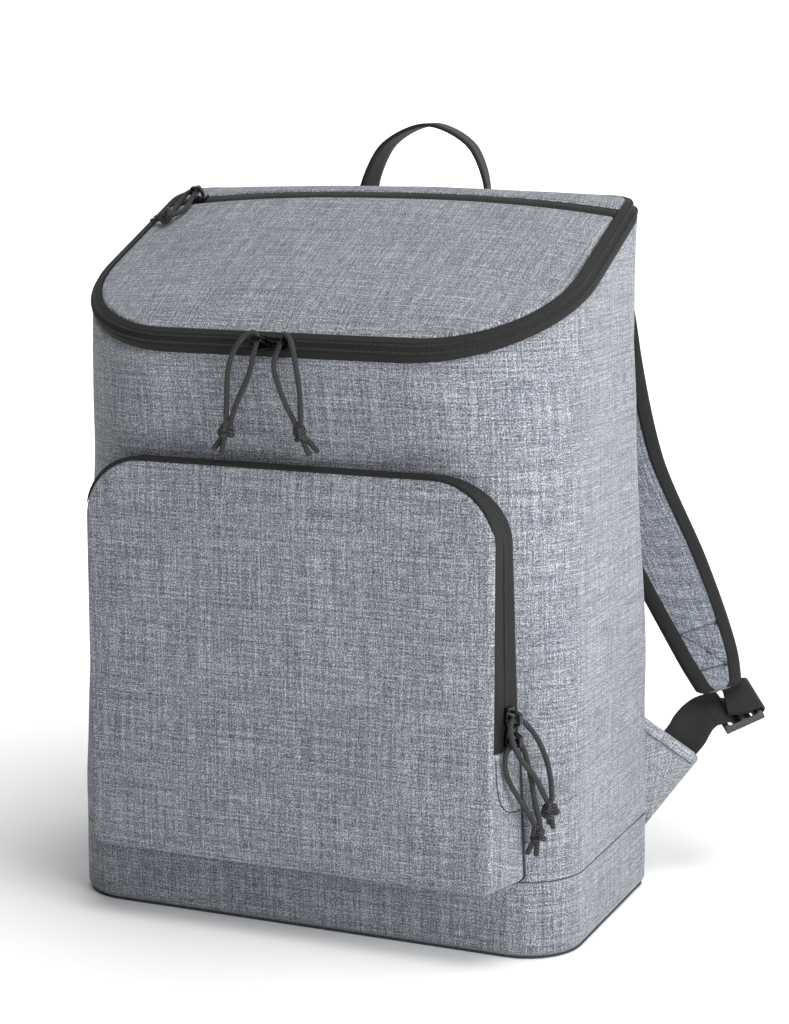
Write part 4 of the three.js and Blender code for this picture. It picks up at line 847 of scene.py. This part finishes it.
def rows_along(name, path, outward, finish, **sizes):
    """Teeth or stitches along a path, as a plain mesh. Sizes are in millimetres."""
    guide = bpy.data.meshes.new(name)
    guide.from_pydata((np.asarray(path) * MM).tolist(), [(i, i + 1) for i in range(len(path) - 1)], [])
    way = guide.attributes.new("outward", "FLOAT_VECTOR", "POINT")
    way.data.foreach_set("vector", np.broadcast_to(outward, np.shape(path)).astype(np.float32).ravel())
    piece = bpy.data.objects.new(name, guide)
    scene.collection.objects.link(piece)
    rows = piece.modifiers.new("rows", "NODES")
    rows.node_group = ROWS
    for item in ROWS.interface.items_tree:
        if item.in_out == "INPUT" and item.name in sizes:
            rows[item.identifier] = sizes[item.name] * MM
        elif item.name == "Finish":
            rows[item.identifier] = finish
    mesh = settled(piece).data
    bpy.data.objects.remove(piece)
    return link(name, mesh, finish)


LID_COIL = {"Pitch": 1.5, "Length": 1.7, "Thickness": 0.8, "Height": 0.9, "Apart": 4.4}
COIL = {"Pitch": 1.25, "Length": 2.2, "Thickness": 0.72, "Height": 0.8, "Apart": 2.0}
STITCH = {"Pitch": 3.2, "Length": 0.7, "Thickness": 2.6, "Height": 0.6, "Apart": 0.0}


def rounded_width(z):
    """Half the pocket's width at heights z."""
    width = POCKET_WIDTH / 2 + 0 * z
    for edge, radius in ((POCKET_BOTTOM, POCKET_BOTTOM_RADIUS), (POCKET_TOP, POCKET_TOP_RADIUS)):
        into = radius - np.abs(z - edge)
        curved = POCKET_WIDTH / 2 - radius + np.sqrt(np.clip(radius**2 - into**2, 0, None))
        width = np.where(into > 0, curved, width)
    return width


def close_to_edges(low, high, count, sharp):
    """Places between two ends that crowd towards both."""
    t = np.linspace(-1, 1, count)
    crowded = np.sign(t) * (1 - (1 - np.abs(t)) ** sharp)
    return lerp(low, high, (crowded + 1) / 2)


def pocket_cloth():
    """The pocket's front: a soft face whose edges roll back to the zip and to the gusset."""
    z = close_to_edges(POCKET_BOTTOM, POCKET_TOP, 86, 1.9)[:, None]
    share = close_to_edges(-1, 1, 96, 1.9)[None]
    x = rounded_width(z) * share
    z = z + 0 * x
    radius = np.where(z > POCKET_TOP - POCKET_TOP_RADIUS, POCKET_TOP_RADIUS, POCKET_BOTTOM_RADIUS)
    low, high = POCKET_BOTTOM + radius, POCKET_TOP - radius
    qx = np.abs(x) - (POCKET_WIDTH / 2 - radius)
    qz = np.where(z > 0.5 * (low + high), z - high, low - z)
    inside = radius - np.where((qx > 0) & (qz > 0), np.hypot(qx, qz), np.maximum(qx, qz))
    roll = seam_tuck(np.clip(inside, 0, None), 2.8)
    points = np.stack([x, POCKET_FACE_Y + 0 * x, z], 2)
    soft = np.clip(inside / 40, 0, 1)
    swell = 2.6 * soft * (2 - soft) + soft * (1.9 * uneven(points, 105, 6.1) + 0.5 * uneven(points, 36, 2.2))
    y = POCKET_FACE_Y + roll - swell
    piece = woven("pocket_cloth", np.stack([x, y, z], 2), MELANGE, u=x, v=z, outward={"way": (0, -1, 0)})
    return thick(piece, POCKET_PANEL - 0.6)


def body_front(x, z):
    width, front, radius, _ = section(z)
    into = np.clip(np.abs(x) - (width - radius), 0, radius)
    return front + radius - np.sqrt(radius**2 - into**2)


def pocket_ring(on_zip):
    """The pocket's edge, as places with their outward direction: the zip's stretch or the rest."""
    half, low, high = POCKET_WIDTH / 2, POCKET_BOTTOM + POCKET_BOTTOM_RADIUS, POCKET_TOP - POCKET_TOP_RADIUS
    if on_zip:
        up = np.linspace(POCKET_ZIP_END, high, 40)[:-1]
        arc = np.linspace(0, TAU / 4, 28)
        top = np.linspace(half - POCKET_TOP_RADIUS, 0, 30)[1:]
        x = np.concatenate([half + 0 * up, half - POCKET_TOP_RADIUS * (1 - np.cos(arc)), top])
        z = np.concatenate([up, high + POCKET_TOP_RADIUS * np.sin(arc), POCKET_TOP + 0 * top])
        nx = np.concatenate([1 + 0 * up, np.cos(arc), 0 * top])
        nz = np.concatenate([0 * up, np.sin(arc), 1 + 0 * top])
        right = np.stack([x, z, nx, nz], 1)
        return np.concatenate([right, right[-2::-1] * (-1, 1, -1, 1)])
    across = np.linspace(0, half - POCKET_BOTTOM_RADIUS, 34)[:-1]
    arc = np.linspace(-TAU / 4, 0, 14)
    up = np.linspace(low, POCKET_ZIP_END - GAP, 26)[1:]
    x = np.concatenate([across, half - POCKET_BOTTOM_RADIUS * (1 - np.cos(arc)), half + 0 * up])
    z = np.concatenate([POCKET_BOTTOM + 0 * across, low + POCKET_BOTTOM_RADIUS * np.sin(arc), up])
    nx = np.concatenate([0 * across, np.cos(arc), 1 + 0 * up])
    nz = np.concatenate([-1 + 0 * across, np.sin(arc), 0 * up])
    right = np.stack([x, z, nx, nz], 1)
    return np.concatenate([right[:0:-1] * (-1, 1, -1, 1), right])


def gusset_point(ring, depth):
    """A place between the pocket's face, at depth 0, and its seam on the body, at depth 1."""
    x, z, nx, nz = ring.T
    rise = np.clip((z - POCKET_BOTTOM) / (POCKET_TOP - POCKET_BOTTOM), 0, 1)
    flare = lerp(POCKET_FLARE_BOTTOM, POCKET_FLARE_TOP, rise) * depth
    px = x + nx * flare
    pz = z + np.clip(nz, 0, None) * POCKET_FLARE_TOP * depth
    front = POCKET_FACE_Y + POCKET_PANEL + GAP
    return np.stack([px, lerp(front, body_front(px, pz) - GAP, depth), pz], -1)


def ring_out(ring):
    """The way out of the pocket's side at each place of its edge."""
    return np.stack([ring[:, 2], 0 * ring[:, 2], ring[:, 3]], 1)


def gusset_sheet(name, ring, finish, groove):
    depth = close_to_edges(0, 1, 19, 1.6)
    grid = np.stack([gusset_point(ring, d) for d in depth])
    push = 0.5 * uneven(grid, 34, 9.4) * np.sin(depth * math.pi)[:, None]
    push = push - groove * np.exp(-((depth - 0.5) / 0.12) ** 2)[:, None]
    push = push - 1.3 * np.exp(-((1 - depth) / 0.05) ** 2)[:, None]
    push = push - 0.5 * np.exp(-(depth / 0.04) ** 2)[:, None]
    piece = woven(name, grid + ring_out(ring) * push[..., None], finish, outward={"from": (0, 0, 170)})
    return thick(piece, 1.8)


def strap_line(rows):
    """The shoulder strap's middle line with, at each row, its width's way, its face's way and its width."""
    along = np.linspace(0, 1, rows)
    value = {c: from_table(STRAP_ROUTE, c, along) for c in (DROP, SPREAD, STANDOFF, YAW, WIDTH)}
    at = np.stack([STRAP_TOP_X + STRAP_SPREAD * value[SPREAD],
                   PANEL_BACK_Y + GAP + STRAP_THICKNESS / 2 + STRAP_STANDOFF * value[STANDOFF],
                   STRAP_TOP_Z - STRAP_DROP * value[DROP]], 1)
    yaw = np.radians(value[YAW])
    wide = np.stack([np.cos(yaw), np.sin(yaw), 0 * yaw], 1)
    return at, *ribbon_frame(at, wide), STRAP_WIDTH * value[WIDTH]


def ribbon_frame(at, wide):
    way = unit(np.gradient(at, axis=0))
    wide = unit(wide - way * (wide * way).sum(1)[:, None])
    return wide, np.cross(way, wide)


def swept(name, at, wide, up, outline_at, finish):
    """A closed body along a line. Outline gives each row's section: across and up, in millimetres."""
    grid = at[:, None] + wide[:, None] * outline_at[..., :1] + up[:, None] * outline_at[..., 1:]
    return woven(name, grid, finish, around=True, capped=True)


def pad_crown(share):
    """How a soft pad thins from its middle to the given share of the way to its edge."""
    return 0.86 + 0.14 * (1 - share**2)


def pad_height(share):
    """Half the strap pad's thickness at a share of the way to its edge, rounded down to nothing there."""
    return PAD_THICKNESS / 2 * (1 - np.abs(share) ** 5) ** 0.5 * pad_crown(share)


def pad_section(width):
    """The strap pad's section as a closed ring of points."""
    a = np.sin(np.linspace(-TAU / 4, TAU / 4, PAD_POINTS // 2 + 1))
    high = pad_height(a)
    ring = np.concatenate([np.stack([a, high], 1), np.stack([a[-2:0:-1], -high[-2:0:-1]], 1)])
    return ring * (width / 2, 1)


# The strap pad inside its binding, the binding, and how the sewn seams press the pad in.
PAD_THICKNESS, PAD_POINTS, BINDING_WIDTH = STRAP_THICKNESS - 1, 64, 8.5
SEAM_DEPTH, SEAM_HALF_WIDTH = 0.42, 1.3

# The box and cross sewn through the strap's end. Each row is a seam from one place to another:
# millimetres up from the strap's end, then the share of the way to its edge, twice.
BOX_STITCH = np.array([
    (15, -0.46, 15, 0.46), (43, -0.60, 43, 0.60), (15, -0.46, 43, 0.60), (15, 0.46, 43, -0.60),
])


def end_taper(left):
    """How far a section has closed in the strap's last millimetres."""
    close = np.clip(left / 4, 0, 1)[:, None, None]
    return 0.3 + 0.7 * np.sqrt(1 - (1 - close) ** 2)


def strap_pad():
    at, wide, up, width = strap_line(300)
    sections = np.stack([pad_section(w - 1.2) for w in width])
    sections[..., 1] *= 1 + 0.06 * uneven(at, 26, 3.7)[:, None]
    left = length_of(at) - run_along(at)
    place = np.stack([left[:, None] + 0 * sections[..., 0], sections[..., 0]], 2)
    for low, low_share, high, high_share in BOX_STITCH:
        half_low, half_high = (np.interp(v, left[::-1], width[::-1]) / 2 for v in (low, high))
        start, end = np.array([low, low_share * half_low]), np.array([high, high_share * half_high])
        share = np.clip(((place - start) @ (end - start)) / ((end - start) ** 2).sum(), 0, 1)
        away = np.linalg.norm(place - start - share[..., None] * (end - start), axis=2)
        sections[..., 1] *= 1 - SEAM_DEPTH * np.exp(-((away / SEAM_HALF_WIDTH) ** 2))
    sections *= end_taper(left)
    return swept("shoulder_pad_right", at, wide, up, sections, STRAP_CLOTH)


def box_stitches():
    """Dark thread along the seams of the strap's end, on the side that shows."""
    at, wide, up, width = strap_line(300)
    left = length_of(at) - run_along(at)
    seams = []
    for k, (low, low_share, high, high_share) in enumerate(BOX_STITCH):
        t = np.linspace(0, 1, 12)
        up_from_end, share = lerp(low, high, t), lerp(low_share, high_share, t)
        row = np.interp(up_from_end, left[::-1], np.arange(len(at))[::-1])
        middle, across, out, half = (np.stack([np.interp(row, np.arange(len(at)), c) for c in field.T], 1)
                                     for field in (at, wide, up, width[:, None] / 2))
        high_at = PAD_THICKNESS / 2 * pad_crown(share) * (1 - SEAM_DEPTH)
        line = middle + across * half * share[:, None] + out * (high_at + 0.3)[:, None]
        seams.append(rows_along(f"seam_{k}", line, out, THREAD_AND_PAINTED_SHADE, **STITCH))
    return joined("strap_box_stitching_right", seams)


def strap_binding(side):
    """Folded tape round one edge of the strap."""
    at, wide, up, width = strap_line(170)
    rows = []
    for w in width:
        reach = w / 2 - BINDING_WIDTH
        a = np.linspace(0, 1, 9) ** 0.7
        x = reach + (w / 2 - reach + 0.1) * a
        share = np.clip(x / (w / 2 + 0.1), 0, 1)
        high = pad_height(share)
        outer = np.stack([x + 0.35 * a, high + 0.55 * (1 - a**6)], 1)
        shell = np.concatenate([outer, outer[-2::-1] * (1, -1)])
        inner = np.stack([np.minimum(x, w / 2 - 1.4), np.clip(high - 0.7, 0.2, None)], 1)
        rows.append(np.concatenate([shell, inner * (1, -1), inner[-2::-1]]) * (side, 1))
    left = length_of(at) - run_along(at)
    name = "strap_binding_outer_right" if side > 0 else "strap_binding_inner_right"
    return swept(name, at, wide, up, np.array(rows) * np.maximum(end_taper(left), 0.62), BINDING)


def tape_section(width, thickness):
    """A flat webbing's section with rounded selvedges."""
    w, t = width / 2, thickness / 2
    top = [(-w, 0.4 * t), (-w + 0.5, t), (-w * 0.5, t), (0, t), (w * 0.5, t), (w - 0.5, t), (w, 0.4 * t)]
    return np.array(top + [(x, -z) for x, z in reversed(top)])


def webbing_piece(name, at, wide, width, thickness):
    wide, up = ribbon_frame(at, wide)
    flat = np.broadcast_to(tape_section(width, thickness), (len(at), 14, 2))
    return swept(name, at, wide, up, flat, WEBBING)


def wing_hem():
    """The wing's folded top edge, on both faces, with its row of stitches."""
    top, foot = (np.array([WING_SEAM_X, BACK_Y + GAP, z]) for z in (WING_TOP, WING_BOTTOM))
    way, down = unit(WING_TIP - top), unit(foot - top)
    down = unit(down - way * down.dot(way))
    out = np.cross(way, down)
    out = out * -np.sign(out[1])
    run = np.linspace(3, np.linalg.norm(WING_TIP - top) - 4, 40)[:, None]
    hem = np.array([(0.3, 0.5), (-0.6, -0.4), (-0.6, -2.6), (0.3, -3.4), (7.2, -3.4), (7.9, -2.9),
                    (7.9, -1.3), (7.9, 0.2), (7.2, 0.5)])
    centre = top + way * run
    grid = centre[:, None] + down * hem[None, :, :1] + out * hem[None, :, 1:]
    strip = woven("wing_hem_right", grid, WING_CLOTH, around=True, capped=True)
    sewn = rows_along("wing_stitches_right", centre + down * 6.2 + out * 0.6, out, THREAD_AND_PAINTED_SHADE, **STITCH)
    return strip, sewn


def fine_line(name, path, radius, finish, closed=False):
    """A thin line, half sunk in the cloth: a sewn seam, or a dark line of painted shade."""
    path = smooth_path(path, 1.5)
    grid, _ = cord_grid(np.concatenate([path, path[:1]]) if closed else path, radius, 8, 0)
    return woven(name, grid, finish, around=True, capped=True)


def tape_edge():
    """The folded edge of the pocket's tape, along the top and round its corners, thin at its ends."""
    ring = pocket_ring(True)
    line = gusset_point(ring, 0) + ring_out(ring) * 0.35 - (0, 1.7, 0)
    line = line[ring[:, 1] > POCKET_TOP - 31]
    folded, run = cord_grid(line, 1.5, 12, 0)
    taper = np.clip(np.minimum(run, run[-1] - run) / 26, 0.05, 1) ** 0.5
    folded = line[:, None] + (folded - line[:, None]) * taper[:, None, None]
    return woven("pocket_tape_edge", folded, ZIP_TAPE, around=True, capped=True)


def base_line(name, counts, sides, inset, z, radius):
    """A fine line right round the base, that far inside the given section."""
    x, y, nx, ny = outline(both_sides(stations_round(counts)), *sides)
    line = np.stack([x - inset * nx, y - inset * ny, z + 0 * x], 1)
    return fine_line(name, line, radius, THREAD_AND_PAINTED_SHADE, closed=True)


# The dart sewn below the zip's end. Columns: depth into the pocket's side, height.
DART = ((0.06, 128), (0.08, 118), (0.14, 108), (0.26, 100), (0.46, 95), (0.70, 93.2), (0.97, 93))


def dart_seam():
    """The curved seam that closes the pocket's side below the zip."""
    depth, z = np.array(DART).T
    half = POCKET_WIDTH / 2
    places = [gusset_point(np.array([[half, high, 1, 0]]), d)[0] for d, high in zip(depth, z)]
    return fine_line("pocket_dart_right", np.array(places) + (0.1, 0, 0), 0.42, THREAD_AND_PAINTED_SHADE)


def haul_loop():
    along = np.linspace(0, 1, 150)
    value = {c: from_table(LOOP_ROUTE, c, along) for c in (SIDE, CLIMB, LOOP_LEANS, LOOP_YAW)}
    at = np.stack([LOOP_SPAN / 2 * value[SIDE],
                   PANEL_BACK_Y + GAP + LOOP_THICKNESS / 2 + LOOP_LEAN * value[LOOP_LEANS],
                   LOOP_FOOT_Z + LOOP_HEIGHT * value[CLIMB]], 1)
    yaw = np.radians(value[LOOP_YAW])
    wide = np.stack([np.cos(yaw), np.sin(yaw), 0 * yaw], 1)
    return webbing_piece("haul_loop_webbing", at, wide, LOOP_WEBBING, LOOP_THICKNESS)


lock_down = unit(np.array(LOCK_DOWN))
lock_across = np.array(LOCK_ACROSS)
lock_across = unit(lock_across - lock_down * lock_across.dot(lock_down))
lock_up = np.cross(lock_across, lock_down)


def through_lock(name, free, in_lock):
    """Webbing from free rows and rows in the lock's frame, smoothed between them."""
    at = [np.array(p) for p, _ in free]
    wide = [np.array(w) for _, w in free]
    for down, up, side in in_lock:
        at.append(LOCK_AT + lock_down * down + lock_up * up + lock_across * side)
        wide.append(lock_across)
    both = smooth_path(np.concatenate([at, TURN_WEIGHT * np.array(wide)], axis=1), 1.2)
    line, ways = both[:, :3], both[:, 3:] / TURN_WEIGHT
    return webbing_piece(name, line, ways, WEBBING_WIDTH, WEBBING_THICKNESS)


def wing_cloth():
    """A doubled triangle of cloth from the side seam to its tip, with a strip sewn on the back wall."""
    rows = []
    for t in [-1, -0.5, *np.linspace(0, 0.97, 26)]:
        line = []
        for s in np.linspace(0, 1, 40):
            root = (WING_SEAM_X + min(t, 0) * WING_SEWN, BACK_Y + GAP, lerp(WING_BOTTOM, WING_TOP, s))
            line.append(lerp(np.array(root), WING_TIP, max(t, 0)))
        rows.append(line)
    grid = np.array(rows)
    edge = np.linspace(0, 1, 40)[None]
    from_seam = np.clip(np.linspace(-1, 1, len(rows)), 0, 1)[:, None]
    body = np.clip(np.minimum(edge, 1 - edge) * 9, 0, 1) * from_seam
    grid[..., 1] += 0.9 * uneven(grid, 30, 1.1) * body
    piece = woven("strap_wing_right_cloth", grid, WING_CLOTH, outward={"way": (0, -1, 0)})
    return thick(piece, WING_THICKNESS)


def back_pad():
    """The padded back: a slab with rounded corners that swells between its edges."""
    top = back_top()
    half, r = BACK_PANEL_WIDTH / 2, BACK_PANEL_RADIUS
    z = close_to_edges(BACK_PANEL_BOTTOM, top, 60, 1.6)[:, None]
    into = np.maximum(np.maximum(BACK_PANEL_BOTTOM + r - z, z - (top - r)), 0)
    width = half - r + np.sqrt(r**2 - into**2)
    x = width * close_to_edges(-1, 1, 48, 1.6)[None]
    z = z + 0 * x
    rim = np.minimum(np.minimum(z - BACK_PANEL_BOTTOM, top - z), width - np.abs(x))
    face = PANEL_BACK_Y - seam_tuck(rim, BACK_PANEL_THICKNESS * 0.8) * 0.9
    return woven("back_pad", np.stack([x, face, z], 2), BACK_CLOTH, u=x, v=z, outward={"way": (0, 1, 0)})


def swollen(piece, cap, floor):
    """Pads a finished slab out by a short cloth simulation, never further than the cap."""
    rest = np.array([v.co for v in piece.data.vertices])
    pins = piece.vertex_groups.new(name="sewn")
    for v, p in enumerate(rest):
        if p[1] < floor + PAD_SEWN:
            pins.add([v], 1.0, "REPLACE")
    cloth = piece.modifiers.new("cloth", "CLOTH")
    cloth.settings.quality, cloth.settings.mass = 4, 0.3
    cloth.settings.use_pressure, cloth.settings.uniform_pressure_force = True, 4
    cloth.settings.effector_weights.gravity = 0
    cloth.settings.vertex_group_mass = "sewn"
    for step in range(1, PAD_STEPS + 1):
        scene.frame_set(step)
    settled(piece)
    moved = np.array([v.co for v in piece.data.vertices]) - rest
    size = np.linalg.norm(moved, axis=1, keepdims=True)
    place = rest + moved * np.minimum(1, cap / np.maximum(size, 1e-9))
    place[:, 1] = np.maximum(place[:, 1], np.minimum(rest[:, 1], floor))
    piece.data.vertices.foreach_set("co", place.astype(np.float32).ravel())
    piece.data.update()
    scene.frame_set(1)
    return piece


def rounded_copy(name, node, finish, grain, rounds):
    """A rigid piece of the frame with its edges worn round, as a casting or moulding is."""
    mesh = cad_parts[node].data.copy()
    shape = bmesh.new()
    shape.from_mesh(mesh)
    bmesh.ops.remove_doubles(shape, verts=shape.verts, dist=1e-5)
    shape.to_mesh(mesh)
    shape.free()
    piece = link(name, mesh, finish)
    skin = piece.modifiers.new("skin", "REMESH")
    skin.mode, skin.voxel_size, skin.use_smooth_shade = "VOXEL", grain * MM, True
    soft = piece.modifiers.new("soft", "SMOOTH")
    soft.factor, soft.iterations = 0.5, rounds
    mesh = settled(piece).data
    bpy.data.objects.remove(piece)
    return link(name, mesh, finish)


# The body, the base and the lid.
dress(body_cloth(), "melange_cloth", "body_wall")
dress(base_cloth(), "melange_cloth", "base_tub")
lid = lid_sheet("lid_cloth", lid_rows(), MELANGE, LID_WALL - 0.6, curl_back=True, ruffle=1.0)
dress(lid, "melange_cloth", "lid_panel")
rear = lid_sheet("lid_rear_cloth", rear_rows(), MELANGE, LID_WALL - 0.6, curl_front=True, ruffle=0.6)
dress(rear, "melange_cloth", "lid_rear_strip")
zip_rows = np.linspace(LID_ZIP_Y - LID_ZIP_WIDTH / 2, LID_ZIP_Y + LID_ZIP_WIDTH / 2, 9)
tape = lid_sheet("lid_pocket_tape", zip_rows, ZIP_TAPE, 1.2, sink=LID_ZIP_SINK)
dress(tape, "black_zip_tape", "lid_pocket_zip")
dress(lid_band(), "black_zip_tape", "lid_zip_band")

line, out = band_middle(0.1)
dress(rows_along("lid_zip_teeth", line, out, TEETH, **LID_COIL), "black_zip_tape")
x = np.linspace(-LID_HALF + 1, LID_HALF - 1, 90)
line = np.stack([x, LID_ZIP_Y + 0 * x, lid_height(x, LID_ZIP_Y) - LID_ZIP_SINK + 0.2], 1)
dress(rows_along("lid_pocket_zip_teeth", line, (0, -0.4, 0.92), TEETH, **COIL), "black_zip_tape")

# The front pocket.
dress(pocket_cloth(), "melange_cloth", "pocket_panel")
dress(gusset_sheet("pocket_tape", pocket_ring(True), ZIP_TAPE, 0.4), "black_zip_tape", "pocket_zip")
dress(gusset_sheet("pocket_gusset_cloth", pocket_ring(False), MELANGE, 0), "melange_cloth", "pocket_gusset")
ring = pocket_ring(True)
teeth = rows_along("pocket_zip_teeth", gusset_point(ring, 0.5), ring_out(ring), TEETH, **COIL)
dress(teeth, "black_zip_tape")
dress(tape_edge(), "black_zip_tape")
# A dark line where the gusset meets the body: painted shadow of the gap there.
seam = fine_line("pocket_seam_painted_shadow_line", gusset_point(pocket_ring(False), 0.985), 0.5, THREAD_AND_PAINTED_SHADE)
dress(seam, "melange_cloth")

# The dark lines round the base: a painted contact shadow where it turns under onto the floor, and its seam
# with the body.
# The line under the foot is painted shadow of the rounded bottom edge on the floor.
under = 2.2
foot = (BASE_WIDTH / 2 - under, FRONT_Y + under, BACK_Y - under, BASE_FRONT_RADIUS - under,
        BASE_BACK_RADIUS - under)
dress(base_line("base_edge_painted_shadow_line", (6, 10, 6, 4, 6), foot, 0, 0.8, 0.8), "melange_cloth")
# The line at the body's seam with the base is partly its thread and partly painted shade of the folded seam.
half, front, *radii = section(BASE_BAND)
band = (half, front, BACK_Y, *radii)
dress(base_line("base_seam_thread_and_shade_line", (9, 14, 6, 4, 6), band, 0.2, BASE_BAND - 0.1, 0.34), "melange_cloth")

# Sliders.
for node in ("lid_slider_left", "lid_slider_right", "lid_pocket_slider", "pocket_slider_lower",
             "pocket_slider_upper"):
    dress(rounded_copy(f"{node}_body", node, SLIDER_METAL, 0.22, 7), "black_slider", node)

# The back, the straps, the wings and their webbing.
pad = thick(back_pad(), BACK_PANEL_THICKNESS * 0.55)
swollen(pad, 0.0035, (BACK_Y + GAP) * MM)
dress(pad, "back_padding", "back_panel")
dress(haul_loop(), "black_webbing", "haul_loop")

hem, hem_stitches = wing_hem()
side_parts = (
    (strap_pad(), "shoulder_pad", "strap_padding", ["shoulder_strap"]),
    (strap_binding(1), "strap_binding_outer", "strap_padding", []),
    (strap_binding(-1), "strap_binding_inner", "strap_padding", []),
    (through_lock("strap_webbing_right_band", WEBBING_FREE, WEBBING_IN_LOCK), "strap_webbing_band",
     "black_webbing", ["strap_webbing"]),
    (through_lock("strap_end_webbing_right", (), LOOP_IN_LOCK), "strap_end_webbing", "black_webbing",
     ["strap_end_loop"]),
    (wing_cloth(), "strap_wing_cloth", "melange_cloth", ["strap_wing"]),
    (rounded_copy("ladder_lock_right_body", "ladder_lock_right", PLASTIC, 0.4, 8), "ladder_lock_body",
     "black_plastic", ["ladder_lock"]),
    (box_stitches(), "strap_box_stitching", "strap_padding", []),
    (hem, "wing_hem", "melange_cloth", []),
    (hem_stitches, "wing_stitches", "melange_cloth", []),
    (dart_seam(), "pocket_dart", "melange_cloth", []),
)
for right, name, slot, nodes in side_parts:
    left = mirrored(right, f"{name}_left")
    right.name = f"{name}_right"
    for piece, side in ((right, "right"), (left, "left")):
        dress(piece, slot, *[f"{node}_{side}" for node in nodes])
        if name == "shoulder_pad":
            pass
        elif name == "strap_wing_cloth":
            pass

# A pale floor that curves up behind, and soft light. The floor's sizes are in metres.
FLOOR_NEAR, FLOOR_FLAT, FLOOR_BEND, FLOOR_TOP, FLOOR_HALF = -4, 0.9, 2.2, 6, 7
bend = [(FLOOR_FLAT + FLOOR_BEND * math.sin(a), FLOOR_BEND * (1 - math.cos(a)))
        for a in np.linspace(0.1, TAU / 4, 14)]
profile = [(FLOOR_NEAR, 0), (FLOOR_FLAT, 0), *bend, (FLOOR_FLAT + FLOOR_BEND, FLOOR_TOP)]
y, z = np.array(profile).T / MM
floor_grid = np.stack([np.stack([np.full_like(y, x), y, z], 1) for x in (-FLOOR_HALF / MM, FLOOR_HALF / MM)])
studio = Finish("studio_floor", Roughness=0.9, Specular_IOR_Level=0.1, Emission_Strength=0.9)
place = studio.make("ShaderNodeTexCoord", output="Object")
x, y = studio.split(place, 0), studio.split(place, 1)
far = ((x * x + y * y).math("POWER", 0.5) - 0.2) * 0.75
studio.put(studio.shader.inputs["Emission Color"], studio.ramp(far, (0.0, (0.0,) * 3), (1.0, (1.0,) * 3)))
paper = studio.blend(studio.grain(place, (3, 3, 3)), (0.93, 0.93, 0.93), (0.96, 0.96, 0.96))
woven("studio_floor", floor_grid, studio.wear(paper), outward={"way": (0, -1, 1)})

scene.view_settings.view_transform = "Standard"
world = bpy.data.worlds.new("studio")
scene.world = world
world.use_nodes = True
sky = Graph(world.node_tree)
pale, glow = (sky.make("ShaderNodeBackground", inputs={"Strength": strength}) for strength in (1.0, 0.16))
for side in (pale, glow):
    sky.put(side.socket.node.inputs["Color"], (1, 1, 1, 1))
seen = sky.make("ShaderNodeLightPath")
sky.put(world.node_tree.nodes["World Output"].inputs["Surface"], sky.make(
    "ShaderNodeMixShader", inputs={0: seen, 1: glow, 2: pale}))
for name, place, aim, size, watts in (
        ("right_softbox", (1.0, -0.55, 0.40), (0, 0, 0.2), 0.7, 11.2),
        ("top_softbox", (0.4, -0.25, 1.7), (0, 0, 0.3), 1.1, 21)):
    lamp = bpy.data.lights.new(name, "AREA")
    lamp.energy, lamp.size, lamp.shape = watts, size, "DISK"
    light = bpy.data.objects.new(name, lamp)
    scene.collection.objects.link(light)
    light.location = place
    light.rotation_mode = "QUATERNION"
    light.rotation_quaternion = (Vector(aim) - Vector(place)).to_track_quat("-Z", "Y")
